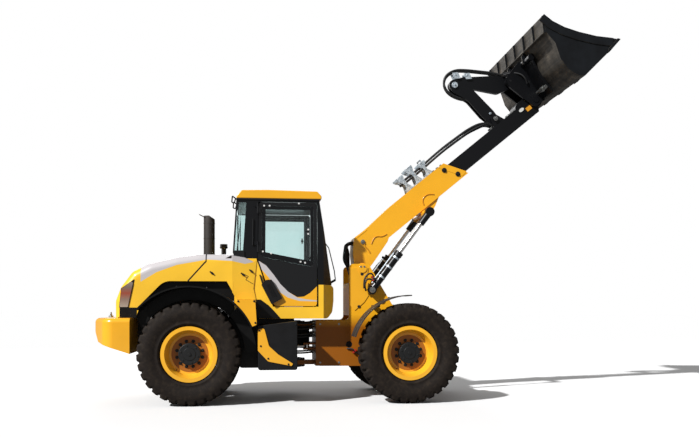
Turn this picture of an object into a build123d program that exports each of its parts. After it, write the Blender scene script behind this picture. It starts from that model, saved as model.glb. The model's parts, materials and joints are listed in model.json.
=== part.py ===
from build123d import *
import math
import os

# Articulated wheel loader with a telescopic boom.
# Working frame, in millimetres: X forward from the rear axle, Y to the left, Z up from the ground.
# At the end everything is moved so that the origin lies on the ground, under the middle of the
# machine's overall length.

# ---------------------------------------------------------------- driving dimensions
WHEELBASE = 2850.0
TRACK = 1794.0
AXLE_HEIGHT = 660.0  # of the axle centres over the chassis datum
TYRE_RADIUS = 660.0  # out to the lug tips
TYRE_WIDTH = 444.0
RIM_RADIUS = 356.0
RIM_WIDTH = 356.0
LUG_DEPTH = 26.0
LUGS_PER_ROW = 20

PIVOT_X = WHEELBASE / 2  # articulation joint
FRONT_X = WHEELBASE  # front axle
FRAME_FRONT_X = PIVOT_X - 275.0  # front wall of the rear frame

REAR_END_X = -1245.0  # back of the counterweight
COUNTERWEIGHT_WIDTH = 2080.0
COUNTERWEIGHT_TOP = 1122.0
COUNTERWEIGHT_ROUND = 60.0
TOW_X = REAR_END_X + 95
TOW_BORE = 20.0
TOW_LOW_Z = 780.0
HOOD_WIDTH = 1560.0
CAB_DATUM_X = PIVOT_X - 1425.0  # the cab is drawn from here
HOOD_FRONT_X = CAB_DATUM_X + 536.0
HOOD_TOP_Z = 1957.0
HOOD_LOWER_Z = 1600.0
HOOD_ROUND = 100.0  # rolled shoulders
LOUVRES = 9
LOUVRE_LOW_Z = 1170.0
LOUVRE_PITCH = 36.0
LOUVRE_GAP = 15.0
LOUVRE_HALF = 430.0
SHEET = 10.0  # body panels

FENDER_RADIUS = 850.0
FENDER_OUTER_Y = 1110.0
FENDER_INNER_Y = 640.0

CAB_HALF_WIDTH = 720.0
CAB_REAR_X = 560.0  # this and the door are measured from the cab's datum
CAB_WALL = 50.0
CAB_FLOOR_Z = 1110.0
DOOR_SILL_Z = 1267.0
TUB_REAR_Z = 1905.0
DOOR_REAR_X = 862.0
DOOR_FRONT_X = 1662.0
DOOR_TOP_Z = 2700.0
DOOR_THICKNESS = 45.0
CAB_TOP_Z = 2700.0
HINGE_Z = (1990.0, 2500.0)
HINGE_LENGTH = 90.0
ROOF_TOP_Z = 2815.0
GLASS = 8.0

BOOM_ANGLE = 39.2  # above the horizontal
BOOM_PIVOT_X = WHEELBASE - 542.0
BOOM_PIVOT_Z = 1797.0
BOOM_WIDTH = 380.0
BOOM_LOW_W = 95.0
BOOM_TOP_W = 427.0
BOOM_REAR_U = 205.0
BOOM_MOUTH_TOP_U = 1880.0
BOOM_MOUTH_LOW_U = 2086.0
BOOM_WALL = 12.0
BOOM_CEILING_W = 386.0  # of the channel that the inner boom runs in
INNER_WIDTH = 250.0
INNER_LOW_W = 136.0
INNER_TOP_W = 370.0
INNER_WALL = 10.0
INNER_REAR_U = 1480.0
PORT_U = 2806.0  # where the hoses enter the inner boom
BUCKET_PIN = (3560.0, 300.0)  # along and across the boom
ROCKER_PIN = (2925.0, 450.0)
ROCKER_TOP_PIN = (2767.0, 1200.0)
COUPLER_PIN = (3430.0, 740.0)
BUCKET_WIDTH = 2420.0
BUCKET_PLATE = 12.0

LIFT_Y = 455.0
LIFT_FOOT = (WHEELBASE - 420.0, 1500.0)
LIFT_EYE = (1221.0, 24.0)  # along and across the boom
LIFT_EYE_IN = 45.0  # half the width of the rod's eye
LIFT_PIN = 35.0
BOOM_PIN = 45.0

TOWER_OUTER_Y = 390.0
TOWER_PLATE = 36.0
TIE_DOWN = (-730.0, 749.0)  # from the front axle
TIE_DOWN_BORE = 45.0

STEER_Y = 190.0
STEER_Z = 720.0
STEER_FOOT_X = PIVOT_X - 545.0
STEER_EYE = (PIVOT_X + 120.0, 225.0)
STEER_BARREL = 440.0
STEER_ROD_IN = 225.0  # inner end of the rod at rest, from the barrel's eye

SEAT_GAP = 0.3  # between pieces that rest on each other
PIN_GAP = 0.3  # round a pin in its eye


# ---------------------------------------------------------------- shaping helpers
def prism(points, y_low, y_high):
    """A plate or block: an outline of (x, z) corners, from y_low to y_high."""
    loop = Polyline(*[(x, y_low, z) for x, z in points], close=True)
    return extrude(make_face(loop), y_high - y_low, dir=(0, 1, 0))


def rounded(rows, y_low, y_high):
    """As prism, from rows of (x, z, corner radius)."""
    points = [(x, y_low, z) for x, z, _ in rows]
    loop = FilletPolyline(*points, radius=[r for _, _, r in rows], close=True)
    return extrude(make_face(loop), y_high - y_low, dir=(0, 1, 0))


def block(x_low, x_high, y_low, y_high, z_low, z_high):
    size = (x_high - x_low, y_high - y_low, z_high - z_low)
    middle = ((x_low + x_high) / 2, (y_low + y_high) / 2, (z_low + z_high) / 2)
    return Pos(*middle) * Box(*size)


def rod_y(x, z, radius, y_low, y_high):
    """A round bar along Y."""
    return Pos(x, (y_low + y_high) / 2, z) * Rot(90, 0, 0) * Cylinder(radius, y_high - y_low)


def rod_x(y, z, radius, x_low, x_high):
    return Pos((x_low + x_high) / 2, y, z) * Rot(0, 90, 0) * Cylinder(radius, x_high - x_low)


def rod_z(x, y, radius, z_low, z_high):
    return Pos(x, y, (z_low + z_high) / 2) * Cylinder(radius, z_high - z_low)


def both_sides(shape):
    """The shape and its mirror image across the machine's middle plane."""
    return [shape, mirror(shape, Plane.XZ)]


def turned(profile, y=0):
    """A body of revolution about the Y axis from rows of (radius, y)."""
    loop = Polyline(*[(r, v, 0) for r, v in profile], close=True)
    return revolve(make_face(loop), Axis.Y, 360)


def on_boom(shape):
    """From boom coordinates (u along, w across as x and z) to the machine."""
    return Pos(BOOM_PIVOT_X, 0, BOOM_PIVOT_Z) * Rot(0, -BOOM_ANGLE, 0) * shape


def boom_point(u, w):
    """Where the boom point (u, w) lies on the machine: (x, z)."""
    a = math.radians(BOOM_ANGLE)
    x = BOOM_PIVOT_X + u * math.cos(a) - w * math.sin(a)
    z = BOOM_PIVOT_Z + u * math.sin(a) + w * math.cos(a)
    return x, z


def bar_between(start, end, y_low, y_high, half_height, end_radius):
    """A link: a straight bar with a round eye at each (x, z) end."""
    (x0, z0), (x1, z1) = start, end
    length = math.hypot(x1 - x0, z1 - z0)
    angle = math.degrees(math.atan2(z1 - z0, x1 - x0))
    bar = block(0, length, y_low, y_high, -half_height, half_height)
    bar += rod_y(0, 0, end_radius, y_low, y_high) + rod_y(length, 0, end_radius, y_low, y_high)
    return Pos(x0, 0, z0) * Rot(0, -angle, 0) * bar


NODES = {}


def keep(name, *shapes):
    """Register a node made of one or more solids."""
    solids = [s for shape in shapes for s in (shape if isinstance(shape, list) else [shape])]
    NODES[name] = solids


# ---------------------------------------------------------------- wheels
HUB_RADIUS = 140.0
SPINDLE_RADIUS = 70.0
DISC_OUT = 30.0  # outer face of the wheel disc, out from the tyre's middle
DISC = 18.0
HUB_OUT = 118.0
RIM_WALL = 14.0
BEAD_RADIUS = 322.0
SPINDLE_END = 60.0


def wheel_rim():
    half = RIM_WIDTH / 2
    barrel = turned([
        (BEAD_RADIUS, -half + 26), (RIM_RADIUS, -half + 8), (RIM_RADIUS, -half),
        (BEAD_RADIUS - RIM_WALL, -half), (262, -DISC_OUT), (262, DISC_OUT),
        (BEAD_RADIUS - RIM_WALL, half), (RIM_RADIUS, half), (RIM_RADIUS, half - 8), (BEAD_RADIUS, half - 26),
    ])
    disc = turned([
        (SPINDLE_RADIUS + PIN_GAP, DISC_OUT - DISC), (264, DISC_OUT - DISC), (264, DISC_OUT),
        (HUB_RADIUS, DISC_OUT), (HUB_RADIUS, HUB_OUT - 30), (HUB_RADIUS - 18, HUB_OUT - 12),
        (80, HUB_OUT - 12), (74, HUB_OUT), (0, HUB_OUT), (0, SPINDLE_END + SEAT_GAP),
        (SPINDLE_RADIUS + PIN_GAP, SPINDLE_END + SEAT_GAP),
    ])
    return barrel + disc


def ring_of_flats(radius, y):
    """A many-sided outline round the axle. Each lug stands on one of its flats."""
    turn = Plane(origin=(0, y, 0), x_dir=(1, 0, 0), z_dir=(0, 1, 0))
    return turn * RegularPolygon(radius, 2 * LUGS_PER_ROW)


def tyre():
    half = TYRE_WIDTH / 2
    base = TYRE_RADIUS - LUG_DEPTH
    shoulder = half - 34
    bead_y = RIM_WIDTH / 2 - 9
    right = [(RIM_RADIUS + 8, bead_y), (520, half), (base, shoulder)]
    rings = [(r, -y) for r, y in right] + [(r, y) for r, y in reversed(right)]
    body = loft([ring_of_flats(r, y) for r, y in rings], ruled=True)
    seat = (BEAD_RADIUS + SEAT_GAP) / math.cos(math.pi / (2 * LUGS_PER_ROW))
    hole = [(RIM_RADIUS + 8, bead_y), (seat, bead_y - 18)]
    rings = [(r, -y) for r, y in hole] + [(r, y) for r, y in reversed(hole)]
    body -= loft([ring_of_flats(r, y) for r, y in rings], ruled=True)
    length = shoulder - 16
    lug = loft([
        Pos(0, 0, base - 40) * Rectangle(84, length),
        Pos(0, 0, TYRE_RADIUS) * Rectangle(62, length),
    ])
    flat = 180 / LUGS_PER_ROW
    lugs = []
    for side, start in ((1, flat / 2), (-1, -flat / 2)):
        placed = Pos(0, side * (length / 2 + 12), 0) * lug
        lugs += [Rot(0, start + 2 * k * flat, 0) * placed for k in range(LUGS_PER_ROW)]
    return body + lugs


rim_shape = wheel_rim()
tyre_shape = tyre()
WHEELS = (  # name, axle x, side (1 is left)
    ("front_left", FRONT_X, 1),
    ("front_right", FRONT_X, -1),
    ("rear_left", 0.0, 1),
    ("rear_right", 0.0, -1),
)
for name, x, side in WHEELS:
    place = Pos(x, side * TRACK / 2, AXLE_HEIGHT) * Rot(0, 0, 0 if side > 0 else 180)
    keep(f"wheel_{name}_rim", place * rim_shape)
    keep(f"wheel_{name}_tyre", place * tyre_shape)


# ---------------------------------------------------------------- axles
AXLE_TUBE = 105.0


def axle():
    inner = TRACK / 2 + DISC_OUT - DISC - 30
    beam = rod_y(0, 0, AXLE_TUBE, -inner + 60, inner - 60)
    beam += rod_y(0, 0, 185, -165, 165)
    for side in (1, -1):
        low, high = sorted((side * (inner - 150), side * inner))
        beam += rod_y(0, 0, 150, low, high)
        low, high = sorted((side * inner, side * (TRACK / 2 + SPINDLE_END)))
        beam += rod_y(0, 0, SPINDLE_RADIUS, low, high)
    return beam


TRUNNION_RADIUS = 60.0
TRUNNION_END = 330.0
keep("front_axle", Pos(FRONT_X, 0, AXLE_HEIGHT) * axle())
keep("rear_axle", Pos(0, 0, AXLE_HEIGHT)
     * (axle() + rod_x(0, 0, TRUNNION_RADIUS, -TRUNNION_END, TRUNNION_END)))

# ---------------------------------------------------------------- rear frame
REAR_PLATE_Y = 330.0
REAR_PLATE = 28.0
HITCH_PIN = 45.0
HITCH_UPPER_Z = 1010.0
HITCH_LOWER_Z = 486.0
HITCH_LUG = 60.0  # thickness of a front frame's lug
HITCH_PLATE = 30.0
HITCH_RADIUS = 105.0


def rear_frame():
    plate = rounded([
        (-1010, 700, 30), (-1010, 1090, 0), (FRAME_FRONT_X, 1090, 60), (FRAME_FRONT_X, 430, 40),
        (620, 430, 60), (430, 880, 120), (-430, 880, 120), (-560, 700, 60),
    ], REAR_PLATE_Y - REAR_PLATE, REAR_PLATE_Y)
    frame = Part() + both_sides(plate)
    for x0, x1, z0, z1 in ((-1010, -980, 720, 1090), (FRAME_FRONT_X - 30, FRAME_FRONT_X, 430, 1090),
                           (-480, -330, 890, 1060),
                           (330, 480, 890, 1060)):
        frame += block(x0, x1, -REAR_PLATE_Y + 5, REAR_PLATE_Y - 5, z0, z1)
    for side in (1, -1):  # bearings of the swinging axle
        x0, x1 = sorted((side * 230, side * TRUNNION_END))
        cradle = block(x0, x1, -150, 150, AXLE_HEIGHT - 100, 900)
        cradle += block(x0 + 40, x1 - 40, -REAR_PLATE_Y + 5, REAR_PLATE_Y - 5, 880, 960)
        frame += cradle - rod_x(0, AXLE_HEIGHT, TRUNNION_RADIUS + PIN_GAP, x0 - 1, x1 + 1)
    for x in (CAB_DATUM_X + 650, CAB_DATUM_X + 1090):  # cab mounts
        for side in (1, -1):
            frame += rod_z(x, side * 290, 42, 1080, CAB_FLOOR_Z - SEAT_GAP)
    for side in (1, -1):  # the steering cylinders pass through the front wall and hang on pins
        y0, y1 = sorted((side * 110, side * (REAR_PLATE_Y - REAR_PLATE)))
        frame -= block(FRAME_FRONT_X - 40, FRAME_FRONT_X + 10, y0, y1, STEER_Z - 60, STEER_Z + 60)
        for z0, z1 in ((STEER_Z - 56, STEER_Z - 25), (STEER_Z + 25, STEER_Z + 56)):
            y0, y1 = sorted((side * (STEER_Y - 45), side * (REAR_PLATE_Y - 5)))
            frame += block(STEER_FOOT_X - 45, STEER_FOOT_X + 26, y0, y1, z0, z1)
        frame += rod_z(STEER_FOOT_X, side * STEER_Y, 20, STEER_Z - 40, STEER_Z + 40)
    for z in (HITCH_UPPER_Z, HITCH_LOWER_Z):  # fork round each lug of the front frame
        for side in (1, -1):
            near = z + side * (HITCH_LUG / 2 + 1)
            z0, z1 = sorted((near, near + side * HITCH_PLATE))
            arm = block(FRAME_FRONT_X - 50, PIVOT_X, -HITCH_RADIUS, HITCH_RADIUS, z0, z1)
            arm += block(FRAME_FRONT_X - 50, FRAME_FRONT_X + 50, -REAR_PLATE_Y + 5, REAR_PLATE_Y - 5, z0, z1)
            frame += arm + rod_z(PIVOT_X, 0, HITCH_RADIUS, z0, z1)
        frame += rod_z(PIVOT_X, 0, HITCH_PIN, z - HITCH_LUG / 2 - 40, z + HITCH_LUG / 2 + 40)
    return frame


keep("rear_frame", rear_frame())

# ---------------------------------------------------------------- counterweight and hood


def counterweight():
    half = COUNTERWEIGHT_WIDTH / 2
    front = -740.0
    plan = FilletPolyline(
        (front, -half, 0), (REAR_END_X + 190, -half, 0), (REAR_END_X, -half + 420, 0),
        (REAR_END_X, half - 420, 0), (REAR_END_X + 190, half, 0), (front, half, 0),
        radius=[0, 170, 300, 300, 170, 0], close=True)
    body = extrude(make_face(plan), COUNTERWEIGHT_TOP - 640, dir=(0, 0, 1))
    body = Pos(0, 0, 640) * body
    rim = [e for e in body.edges().filter_by_position(Axis.Z, COUNTERWEIGHT_TOP - 1, COUNTERWEIGHT_TOP + 1)
           if e.center().X < front - 1]
    body = fillet(rim, COUNTERWEIGHT_ROUND)
    under = prism([(REAR_END_X - 10, 600), (REAR_END_X - 10, 985), (-1175, 815), (front, 668), (front, 600)],
                  -half - 10, half + 10)
    body -= under
    body += rod_z(TOW_X, 0, 62, TOW_LOW_Z, 900)
    body -= block(REAR_END_X - 10, TOW_X + 75, -80, 80, 930, 1010)
    body -= rod_z(TOW_X, 0, TOW_BORE, 600, 1200)
    recess = block(-1010 - SEAT_GAP, front + 1, -REAR_PLATE_Y - SEAT_GAP, REAR_PLATE_Y + SEAT_GAP,
                   600, 1090 + SEAT_GAP)
    return body - recess


def hood_outline(inset):
    """The hood from the side, from the counterweight up over the back to the cab."""
    return [(-966 + inset, COUNTERWEIGHT_TOP + SEAT_GAP - inset, 0), (-966 + inset, 1345, 120),
            (-901 + inset, 1518 - inset / 2, 200), (-750 + inset, 1724 - inset, 160),
            (-532 + inset / 2, 1832 - inset, 300), (-186, 1915 - inset, 500), (100, HOOD_TOP_Z - inset, 600),
            (HOOD_FRONT_X - inset, HOOD_TOP_Z - inset, 0)]


def hood():
    half = HOOD_WIDTH / 2
    lower = [(HOOD_FRONT_X, HOOD_LOWER_Z, 0), (-345, HOOD_LOWER_Z, 200), (-640, 1300, 200),
             (-700, COUNTERWEIGHT_TOP + SEAT_GAP, 0)]
    outer = rounded(hood_outline(0) + lower, -half, half)
    shoulders = [e for e in outer.edges() if abs(abs(e.center().Y) - half) < 1 and on_hood_top(e.center())]
    outer = fillet(shoulders, HOOD_ROUND)
    narrow = half - SHEET
    inner = rounded(hood_outline(SHEET) + [(HOOD_FRONT_X - SHEET, 1100, 0)], -narrow, narrow)
    for side in (1, -1):  # the hollow keeps the sheet's thickness under the rolled shoulders
        low, high = sorted((side * (half - HOOD_ROUND * 0.62), side * half))
        inner -= rounded(hood_outline(SHEET), low, high) - rounded(hood_outline(HOOD_ROUND * 0.62), low, high)
    body = outer - inner
    for k in range(LOUVRES):
        z = LOUVRE_LOW_Z + k * LOUVRE_PITCH
        body -= block(-1000, -860, -LOUVRE_HALF, LOUVRE_HALF, z, z + LOUVRE_GAP)
    return body


def on_hood_top(point):
    """True along the hood's back and top, where its sides are rolled over."""
    return point.X < HOOD_FRONT_X - 5 and point.Z > 1130 and (point.X < -800 or point.Z > 1620)


keep("counterweight", counterweight())
keep("engine_hood", hood())
keep("engine_block", block(-560, 300, -312, 312, 1090 + SEAT_GAP, 1560))



def tail_lamp():
    """A lens on the hood's rear corner."""
    half = HOOD_WIDTH / 2
    rows = [(-905, 1262, 10), (-880, 1500, 20), (-725, 1615, 20), (-800, 1262, 10)]
    return rounded(rows, -half - 14, -half - SEAT_GAP)


keep("tail_lamps", both_sides(tail_lamp()))

STACK_X = 197.0


def stacks():
    exhaust = rod_z(STACK_X, -120, 76, HOOD_TOP_Z + SEAT_GAP, 2528)
    exhaust -= Pos(STACK_X, -120, 2528) * Rot(0, 32, 0) * Pos(0, 0, 60) * Box(260, 260, 120)
    intake = rod_z(385, 150, 34, HOOD_TOP_Z + SEAT_GAP, 2110) + rod_z(385, 150, 52, 2100, 2160)
    return [exhaust, intake]


keep("engine_stacks", stacks())

# ---------------------------------------------------------------- rear fenders, side boxes, trim


def rear_fender():
    ring = rod_y(0, AXLE_HEIGHT, FENDER_RADIUS + 20, -FENDER_OUTER_Y, -FENDER_INNER_Y)
    ring -= rod_y(0, AXLE_HEIGHT, FENDER_RADIUS, -FENDER_OUTER_Y - 1, -FENDER_INNER_Y - SHEET)
    ring -= rod_y(0, AXLE_HEIGHT, FENDER_RADIUS - 70, -FENDER_OUTER_Y - 1, -FENDER_INNER_Y + 1)
    keep_zone = prism([(-640, 1173), (-640, 1700), (860, 1700), (860, 1000), (690, 1000), (0, 700)],
                      -FENDER_OUTER_Y - 5, 0)
    cab_side = CAB_HALF_WIDTH + SEAT_GAP
    cab_rear = CAB_DATUM_X + CAB_REAR_X
    return (ring & keep_zone) - block(cab_rear - 5, cab_rear + 340, -cab_side, 0, 900, 1700)


def fender_panel():
    """Raised corner between the rear fender and the cab's door."""
    rows = [(590, 1354, 20), (835, 1354, 20), (856, 1035, 20), (800, 1010, 10), (600, 1200, 0)]
    panel = rounded(rows, -FENDER_OUTER_Y, -CAB_HALF_WIDTH - SEAT_GAP)
    return panel - rod_y(0, AXLE_HEIGHT, FENDER_RADIUS + 20 + SEAT_GAP, -FENDER_OUTER_Y - 1, 0)


keep("rear_fenders", both_sides(rear_fender()))
keep("fender_panels", both_sides(fender_panel()))


def side_box():
    body = rounded([(870, 449, 30), (870, 1020, 30), (1375, 1080, 20), (1375, 449, 30)], -1040, -370)
    return body + block(900, 1140, -375, -REAR_PLATE_Y - SEAT_GAP, 560, 1000)


keep("side_boxes", both_sides(Pos(CAB_DATUM_X, 0, 0) * side_box()))


def side_panel():
    rows = [(868, 700, 20), (868, 975, 20), (950, 990, 30), (1010, 760, 60), (1130, 650, 60), (1320, 530, 10),
            (1300, 500, 10), (1000, 560, 60)]
    return rounded(rows, -1040 - SEAT_GAP - 12, -1040 - SEAT_GAP)


keep("side_panels", both_sides(Pos(CAB_DATUM_X, 0, 0) * side_panel()))

# ---------------------------------------------------------------- cab
CAB_TUB = [(CAB_REAR_X, CAB_FLOOR_Z, 20), (CAB_REAR_X, TUB_REAR_Z, 0), (DOOR_REAR_X - 14, TUB_REAR_Z, 0),
           (1067, DOOR_SILL_Z, 0), (DOOR_FRONT_X + 10, DOOR_SILL_Z, 0),
           (DOOR_FRONT_X + 10, 1560, 0), (1891, 1560, 60), (1891, 1343, 60), (1871, 1196, 80),
            (1800, CAB_FLOOR_Z, 60)]


def cab_plan(inset):
    """The cab seen from above, with its front corners cut off so that the tower can swing past."""
    half, front = CAB_HALF_WIDTH - inset, 1900 - inset
    corner, nose = 1740 - inset * 0.4, 515 - inset
    plan = Polyline((CAB_REAR_X - 50, -half, 0), (corner, -half, 0), (front, -nose, 0), (front, nose, 0),
                    (corner, half, 0), (CAB_REAR_X - 50, half, 0), close=True)
    return Pos(0, 0, 1000) * extrude(make_face(plan), 2000, dir=(0, 0, 1))


def cab_tub():
    half = CAB_HALF_WIDTH
    tub = rounded(CAB_TUB, -half, half) & cab_plan(0)
    hollow = prism([(CAB_REAR_X + 40, 1170), (CAB_REAR_X + 40, TUB_REAR_Z + 10), (1080, TUB_REAR_Z + 10),
                    (1080, 1300), (1630, 1300), (1630, 1600), (1850, 1600), (1850, 1340), (1790, 1170)],
                   -half, half) & cab_plan(40)
    return tub - hollow


def corner_window(inset):
    """The pane beside the cab's rear corner, from the side."""
    return [(CAB_REAR_X + inset, 2010 + inset), (CAB_REAR_X + 44 + inset, CAB_TOP_Z - 58 - inset),
            (CAB_REAR_X + 156 - inset, CAB_TOP_Z - 58 - inset), (CAB_REAR_X + 112 - inset, 2010 + inset)]


def cab_frame():
    half = CAB_HALF_WIDTH
    sill, tub_end = DOOR_SILL_Z + SEAT_GAP, DOOR_FRONT_X + 10 - SEAT_GAP
    ledge = TUB_REAR_Z + SEAT_GAP
    outer = prism([(CAB_REAR_X, ledge), (CAB_REAR_X, 1960), (CAB_REAR_X - 22, 1978),
                   (CAB_REAR_X + 26, CAB_TOP_Z),
                   (1680, CAB_TOP_Z), (1862, 1560 + SEAT_GAP), (tub_end, 1560 + SEAT_GAP), (tub_end, sill),
                   (DOOR_FRONT_X - 22, sill), (DOOR_FRONT_X - 22, ledge)], -half, half) & cab_plan(0)
    w = CAB_WALL
    inner = prism([(CAB_REAR_X + w, DOOR_SILL_Z - 10), (CAB_REAR_X + w, 1960),
                   (CAB_REAR_X + 26 + w, CAB_TOP_Z - w),
                   (1680 - w, CAB_TOP_Z - w), (1862 - w, 1500), (1862 - w, DOOR_SILL_Z - 10)],
                  -half, half) & cab_plan(w)
    frame = outer - inner
    frame -= prism([(DOOR_REAR_X, 1890), (DOOR_REAR_X + 12, DOOR_TOP_Z - 44),
                    (DOOR_FRONT_X - 4, DOOR_TOP_Z - 44),
                    (DOOR_FRONT_X - 4, DOOR_SILL_Z - 20), (1075, DOOR_SILL_Z - 20)], -half - 1, half + 1)
    frame -= prism(corner_window(0), -half - 1, half + 1)
    frame -= block(CAB_REAR_X - 60, CAB_REAR_X + 100, -half + 70, half - 70, 2010, CAB_TOP_Z - 70)
    frame -= prism([(1600, CAB_TOP_Z - 70), (1760, CAB_TOP_Z - 70), (1930, 1650), (1780, 1650)],
                   -half, half) & cab_plan(60)
    for z in HINGE_Z:
        for side in (1, -1):
            y = side * (half + 26)
            frame += rod_z(DOOR_REAR_X + 4, y, 15, z + HINGE_LENGTH + SEAT_GAP, z + HINGE_LENGTH + 50)
            y0, y1 = sorted((side * (half - 10), side * (half + 26)))
            frame += block(DOOR_REAR_X - 40, DOOR_REAR_X + 4, y0, y1,
                           z + HINGE_LENGTH + SEAT_GAP, z + HINGE_LENGTH + 50)
    return frame


def door():
    rows = [(DOOR_REAR_X + 6, 1905, 60), (DOOR_REAR_X + 20, DOOR_TOP_Z - 52, 40),
            (DOOR_FRONT_X - 12, DOOR_TOP_Z - 52, 40), (DOOR_FRONT_X - 12, DOOR_SILL_Z + 8, 40),
            (1085, DOOR_SILL_Z + 8, 60)]
    y0 = -CAB_HALF_WIDTH - 10
    leaf = rounded(rows, y0, y0 + DOOR_THICKNESS)
    window = rounded([(925, 1940, 40), (935, DOOR_TOP_Z - 110, 40), (1595, DOOR_TOP_Z - 110, 40),
                      (1595, 1800, 60)], y0 - 1, y0 + DOOR_THICKNESS + 1)
    rebate = rounded([(913, 1926, 40), (923, DOOR_TOP_Z - 98, 40), (1607, DOOR_TOP_Z - 98, 40),
                      (1607, 1786, 60)], y0 - 1, y0 + GLASS + 2)
    glass = rounded([(915, 1928, 38), (925, DOOR_TOP_Z - 100, 38), (1605, DOOR_TOP_Z - 100, 38),
                     (1605, 1788, 58)], y0 + 2 - SEAT_GAP, y0 + GLASS + 2 - SEAT_GAP)
    hinges = Part() + [rod_z(DOOR_REAR_X + 4, y0 - 16, 15, z, z + HINGE_LENGTH) for z in HINGE_Z]
    hinges += [block(DOOR_REAR_X + 4, DOOR_REAR_X + 42, y0 - 20, y0 + 5, z + 15, z + HINGE_LENGTH - 15)
               for z in HINGE_Z]
    return leaf - window - rebate + hinges, glass


def door_vent():
    """Ribbed black cover low on the door."""
    rows = [(973, 1619, 14), (1047, 1626, 14), (1191, 1376, 14), (1047, 1297, 14), (913, 1558, 14)]
    return rounded(rows, -CAB_HALF_WIDTH - 10 - 42, -CAB_HALF_WIDTH - 10 - SEAT_GAP)


def cab_roof():
    half = CAB_HALF_WIDTH + 20
    roof = rounded([(586, CAB_TOP_Z + SEAT_GAP, 0), (586, 2722, 10), (655, ROOF_TOP_Z - 8, 40),
                    (1000, ROOF_TOP_Z, 200), (1655, ROOF_TOP_Z - 12, 40), (1712, 2740, 30),
                    (1712, CAB_TOP_Z + SEAT_GAP, 0)], -half, half)
    return roof


cab_place = Pos(CAB_DATUM_X, 0, 0)
keep("cab_tub", cab_place * cab_tub())
keep("cab_frame", cab_place * cab_frame())
keep("cab_roof", cab_place * cab_roof())
leaf, pane = door()
for label, shape in (("", leaf), ("_glass", pane), ("_vent", door_vent())):
    keep(f"door_right{label}", cab_place * shape)
    keep(f"door_left{label}", mirror(cab_place * shape, Plane.XZ))


def cab_glass():
    half = CAB_HALF_WIDTH
    corner = prism(corner_window(SEAT_GAP), -half + 4, -half + 4 + GLASS)
    rear = prism([(CAB_REAR_X + 6, 2010 + SEAT_GAP), (CAB_REAR_X + 46, CAB_TOP_Z - 70 - SEAT_GAP),
                  (CAB_REAR_X + 54, CAB_TOP_Z - 70 - SEAT_GAP), (CAB_REAR_X + 14, 2010 + SEAT_GAP)],
                 -half + 70 + SEAT_GAP, half - 70 - SEAT_GAP)
    screen = prism([(1682, CAB_TOP_Z - 70.3), (1690, CAB_TOP_Z - 70.3), (1847, 1650.3), (1839, 1650.3)],
                   -half, half)
    screen = screen & cab_plan(60 + SEAT_GAP)
    return both_sides(corner) + [rear, screen]


keep("cab_glass", [cab_place * s for s in cab_glass()])


def seat():
    base = block(890, 1230, -180, 180, 1170 + SEAT_GAP, 1500)
    cushion = rounded([(850, 1470, 20), (842, 1600, 50), (1330, 1625, 40), (1330, 1480, 30)], -250, 250)
    back = rounded([(840, 1540, 20), (716, 2215, 34), (806, 2240, 34), (985, 1560, 20)], -240, 240)
    return base + cushion + back


keep("seat", cab_place * seat())


def console():
    column = Pos(1600, 0, 1170 + SEAT_GAP) * Rot(0, -18, 0) * Pos(0, 0, 340) * Box(110, 150, 780)
    column = column - block(1400, 1900, -200, 200, 1000, 1170 + SEAT_GAP)
    wheel = Pos(1500, 0, 1905) * Rot(0, -28, 0) * (Cylinder(205, 26) - Cylinder(178, 40)
                                                   + Box(370, 30, 12) + Rot(0, 0, 90) * Box(370, 30, 12))
    stem = Pos(1500, 0, 1905) * Rot(0, -28, 0) * Pos(0, 0, -100) * Cylinder(26, 200)
    return column + stem + wheel


keep("steering_console", cab_place * console())


# ---------------------------------------------------------------- front frame
FRONT_LUG_RADIUS = 100.0


def front_frame():
    x = FRONT_X
    plate = rounded([
        (x - 1190, 453, 60), (x - 1190, 1083, 40), (x - 729, 1083, 60), (x - 729, 1863, 60),
        (x - 458, 1863, 60), (x - 300, 1590, 80), (x - 120, 1290, 120), (x + 120, 1050, 120),
        (x + 380, 960, 60), (x + 380, 560, 100), (x + 200, 449, 60),
    ], TOWER_OUTER_Y - TOWER_PLATE, TOWER_OUTER_Y)
    frame = Part() + both_sides(plate)
    inner = TOWER_OUTER_Y - TOWER_PLATE + 5
    for side in (1, -1):  # forks for the steering cylinders' rods
        y0, y1 = sorted((side * (STEER_EYE[1] - 50), side * (STEER_EYE[1] + 50)))
        for z0, z1 in ((STEER_Z - 46, STEER_Z - 23), (STEER_Z + 23, STEER_Z + 46)):
            frame += block(STEER_EYE[0] - 50, x - 1180, y0, y1, z0, z1)
    for x0, x1, z0, z1 in ((-729, -700, 1150, 1600), (-1190, -1130, 453, 1083), (-1130, -500, 453, 483),
                           (340, 380, 600, 940), (-300, 120, 1000, 1040)):
        frame += block(x + x0, x + x1, -inner, inner, z0, z1)
    frame += block(x - 420, x - 390, -inner, inner, 800, 1350)
    for z in (HITCH_UPPER_Z, HITCH_LOWER_Z):
        lug = block(PIVOT_X, x - 1150, -FRONT_LUG_RADIUS, FRONT_LUG_RADIUS,
                    z - HITCH_LUG / 2, z + HITCH_LUG / 2)
        lug += rod_z(PIVOT_X, 0, FRONT_LUG_RADIUS, z - HITCH_LUG / 2, z + HITCH_LUG / 2)
        frame += lug
    for z in (HITCH_UPPER_Z, HITCH_LOWER_Z):
        frame -= rod_z(PIVOT_X, 0, HITCH_PIN + PIN_GAP, z - 100, z + 100)
    frame -= rod_y(x, AXLE_HEIGHT, AXLE_TUBE + SEAT_GAP, -600, 600)
    frame -= rod_y(x + TIE_DOWN[0], TIE_DOWN[1], TIE_DOWN_BORE, -600, 600)
    frame += rod_y(BOOM_PIVOT_X, BOOM_PIVOT_Z, BOOM_PIN, -TOWER_OUTER_Y - 8, TOWER_OUTER_Y + 8)
    return frame


keep("front_frame", front_frame())


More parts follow.
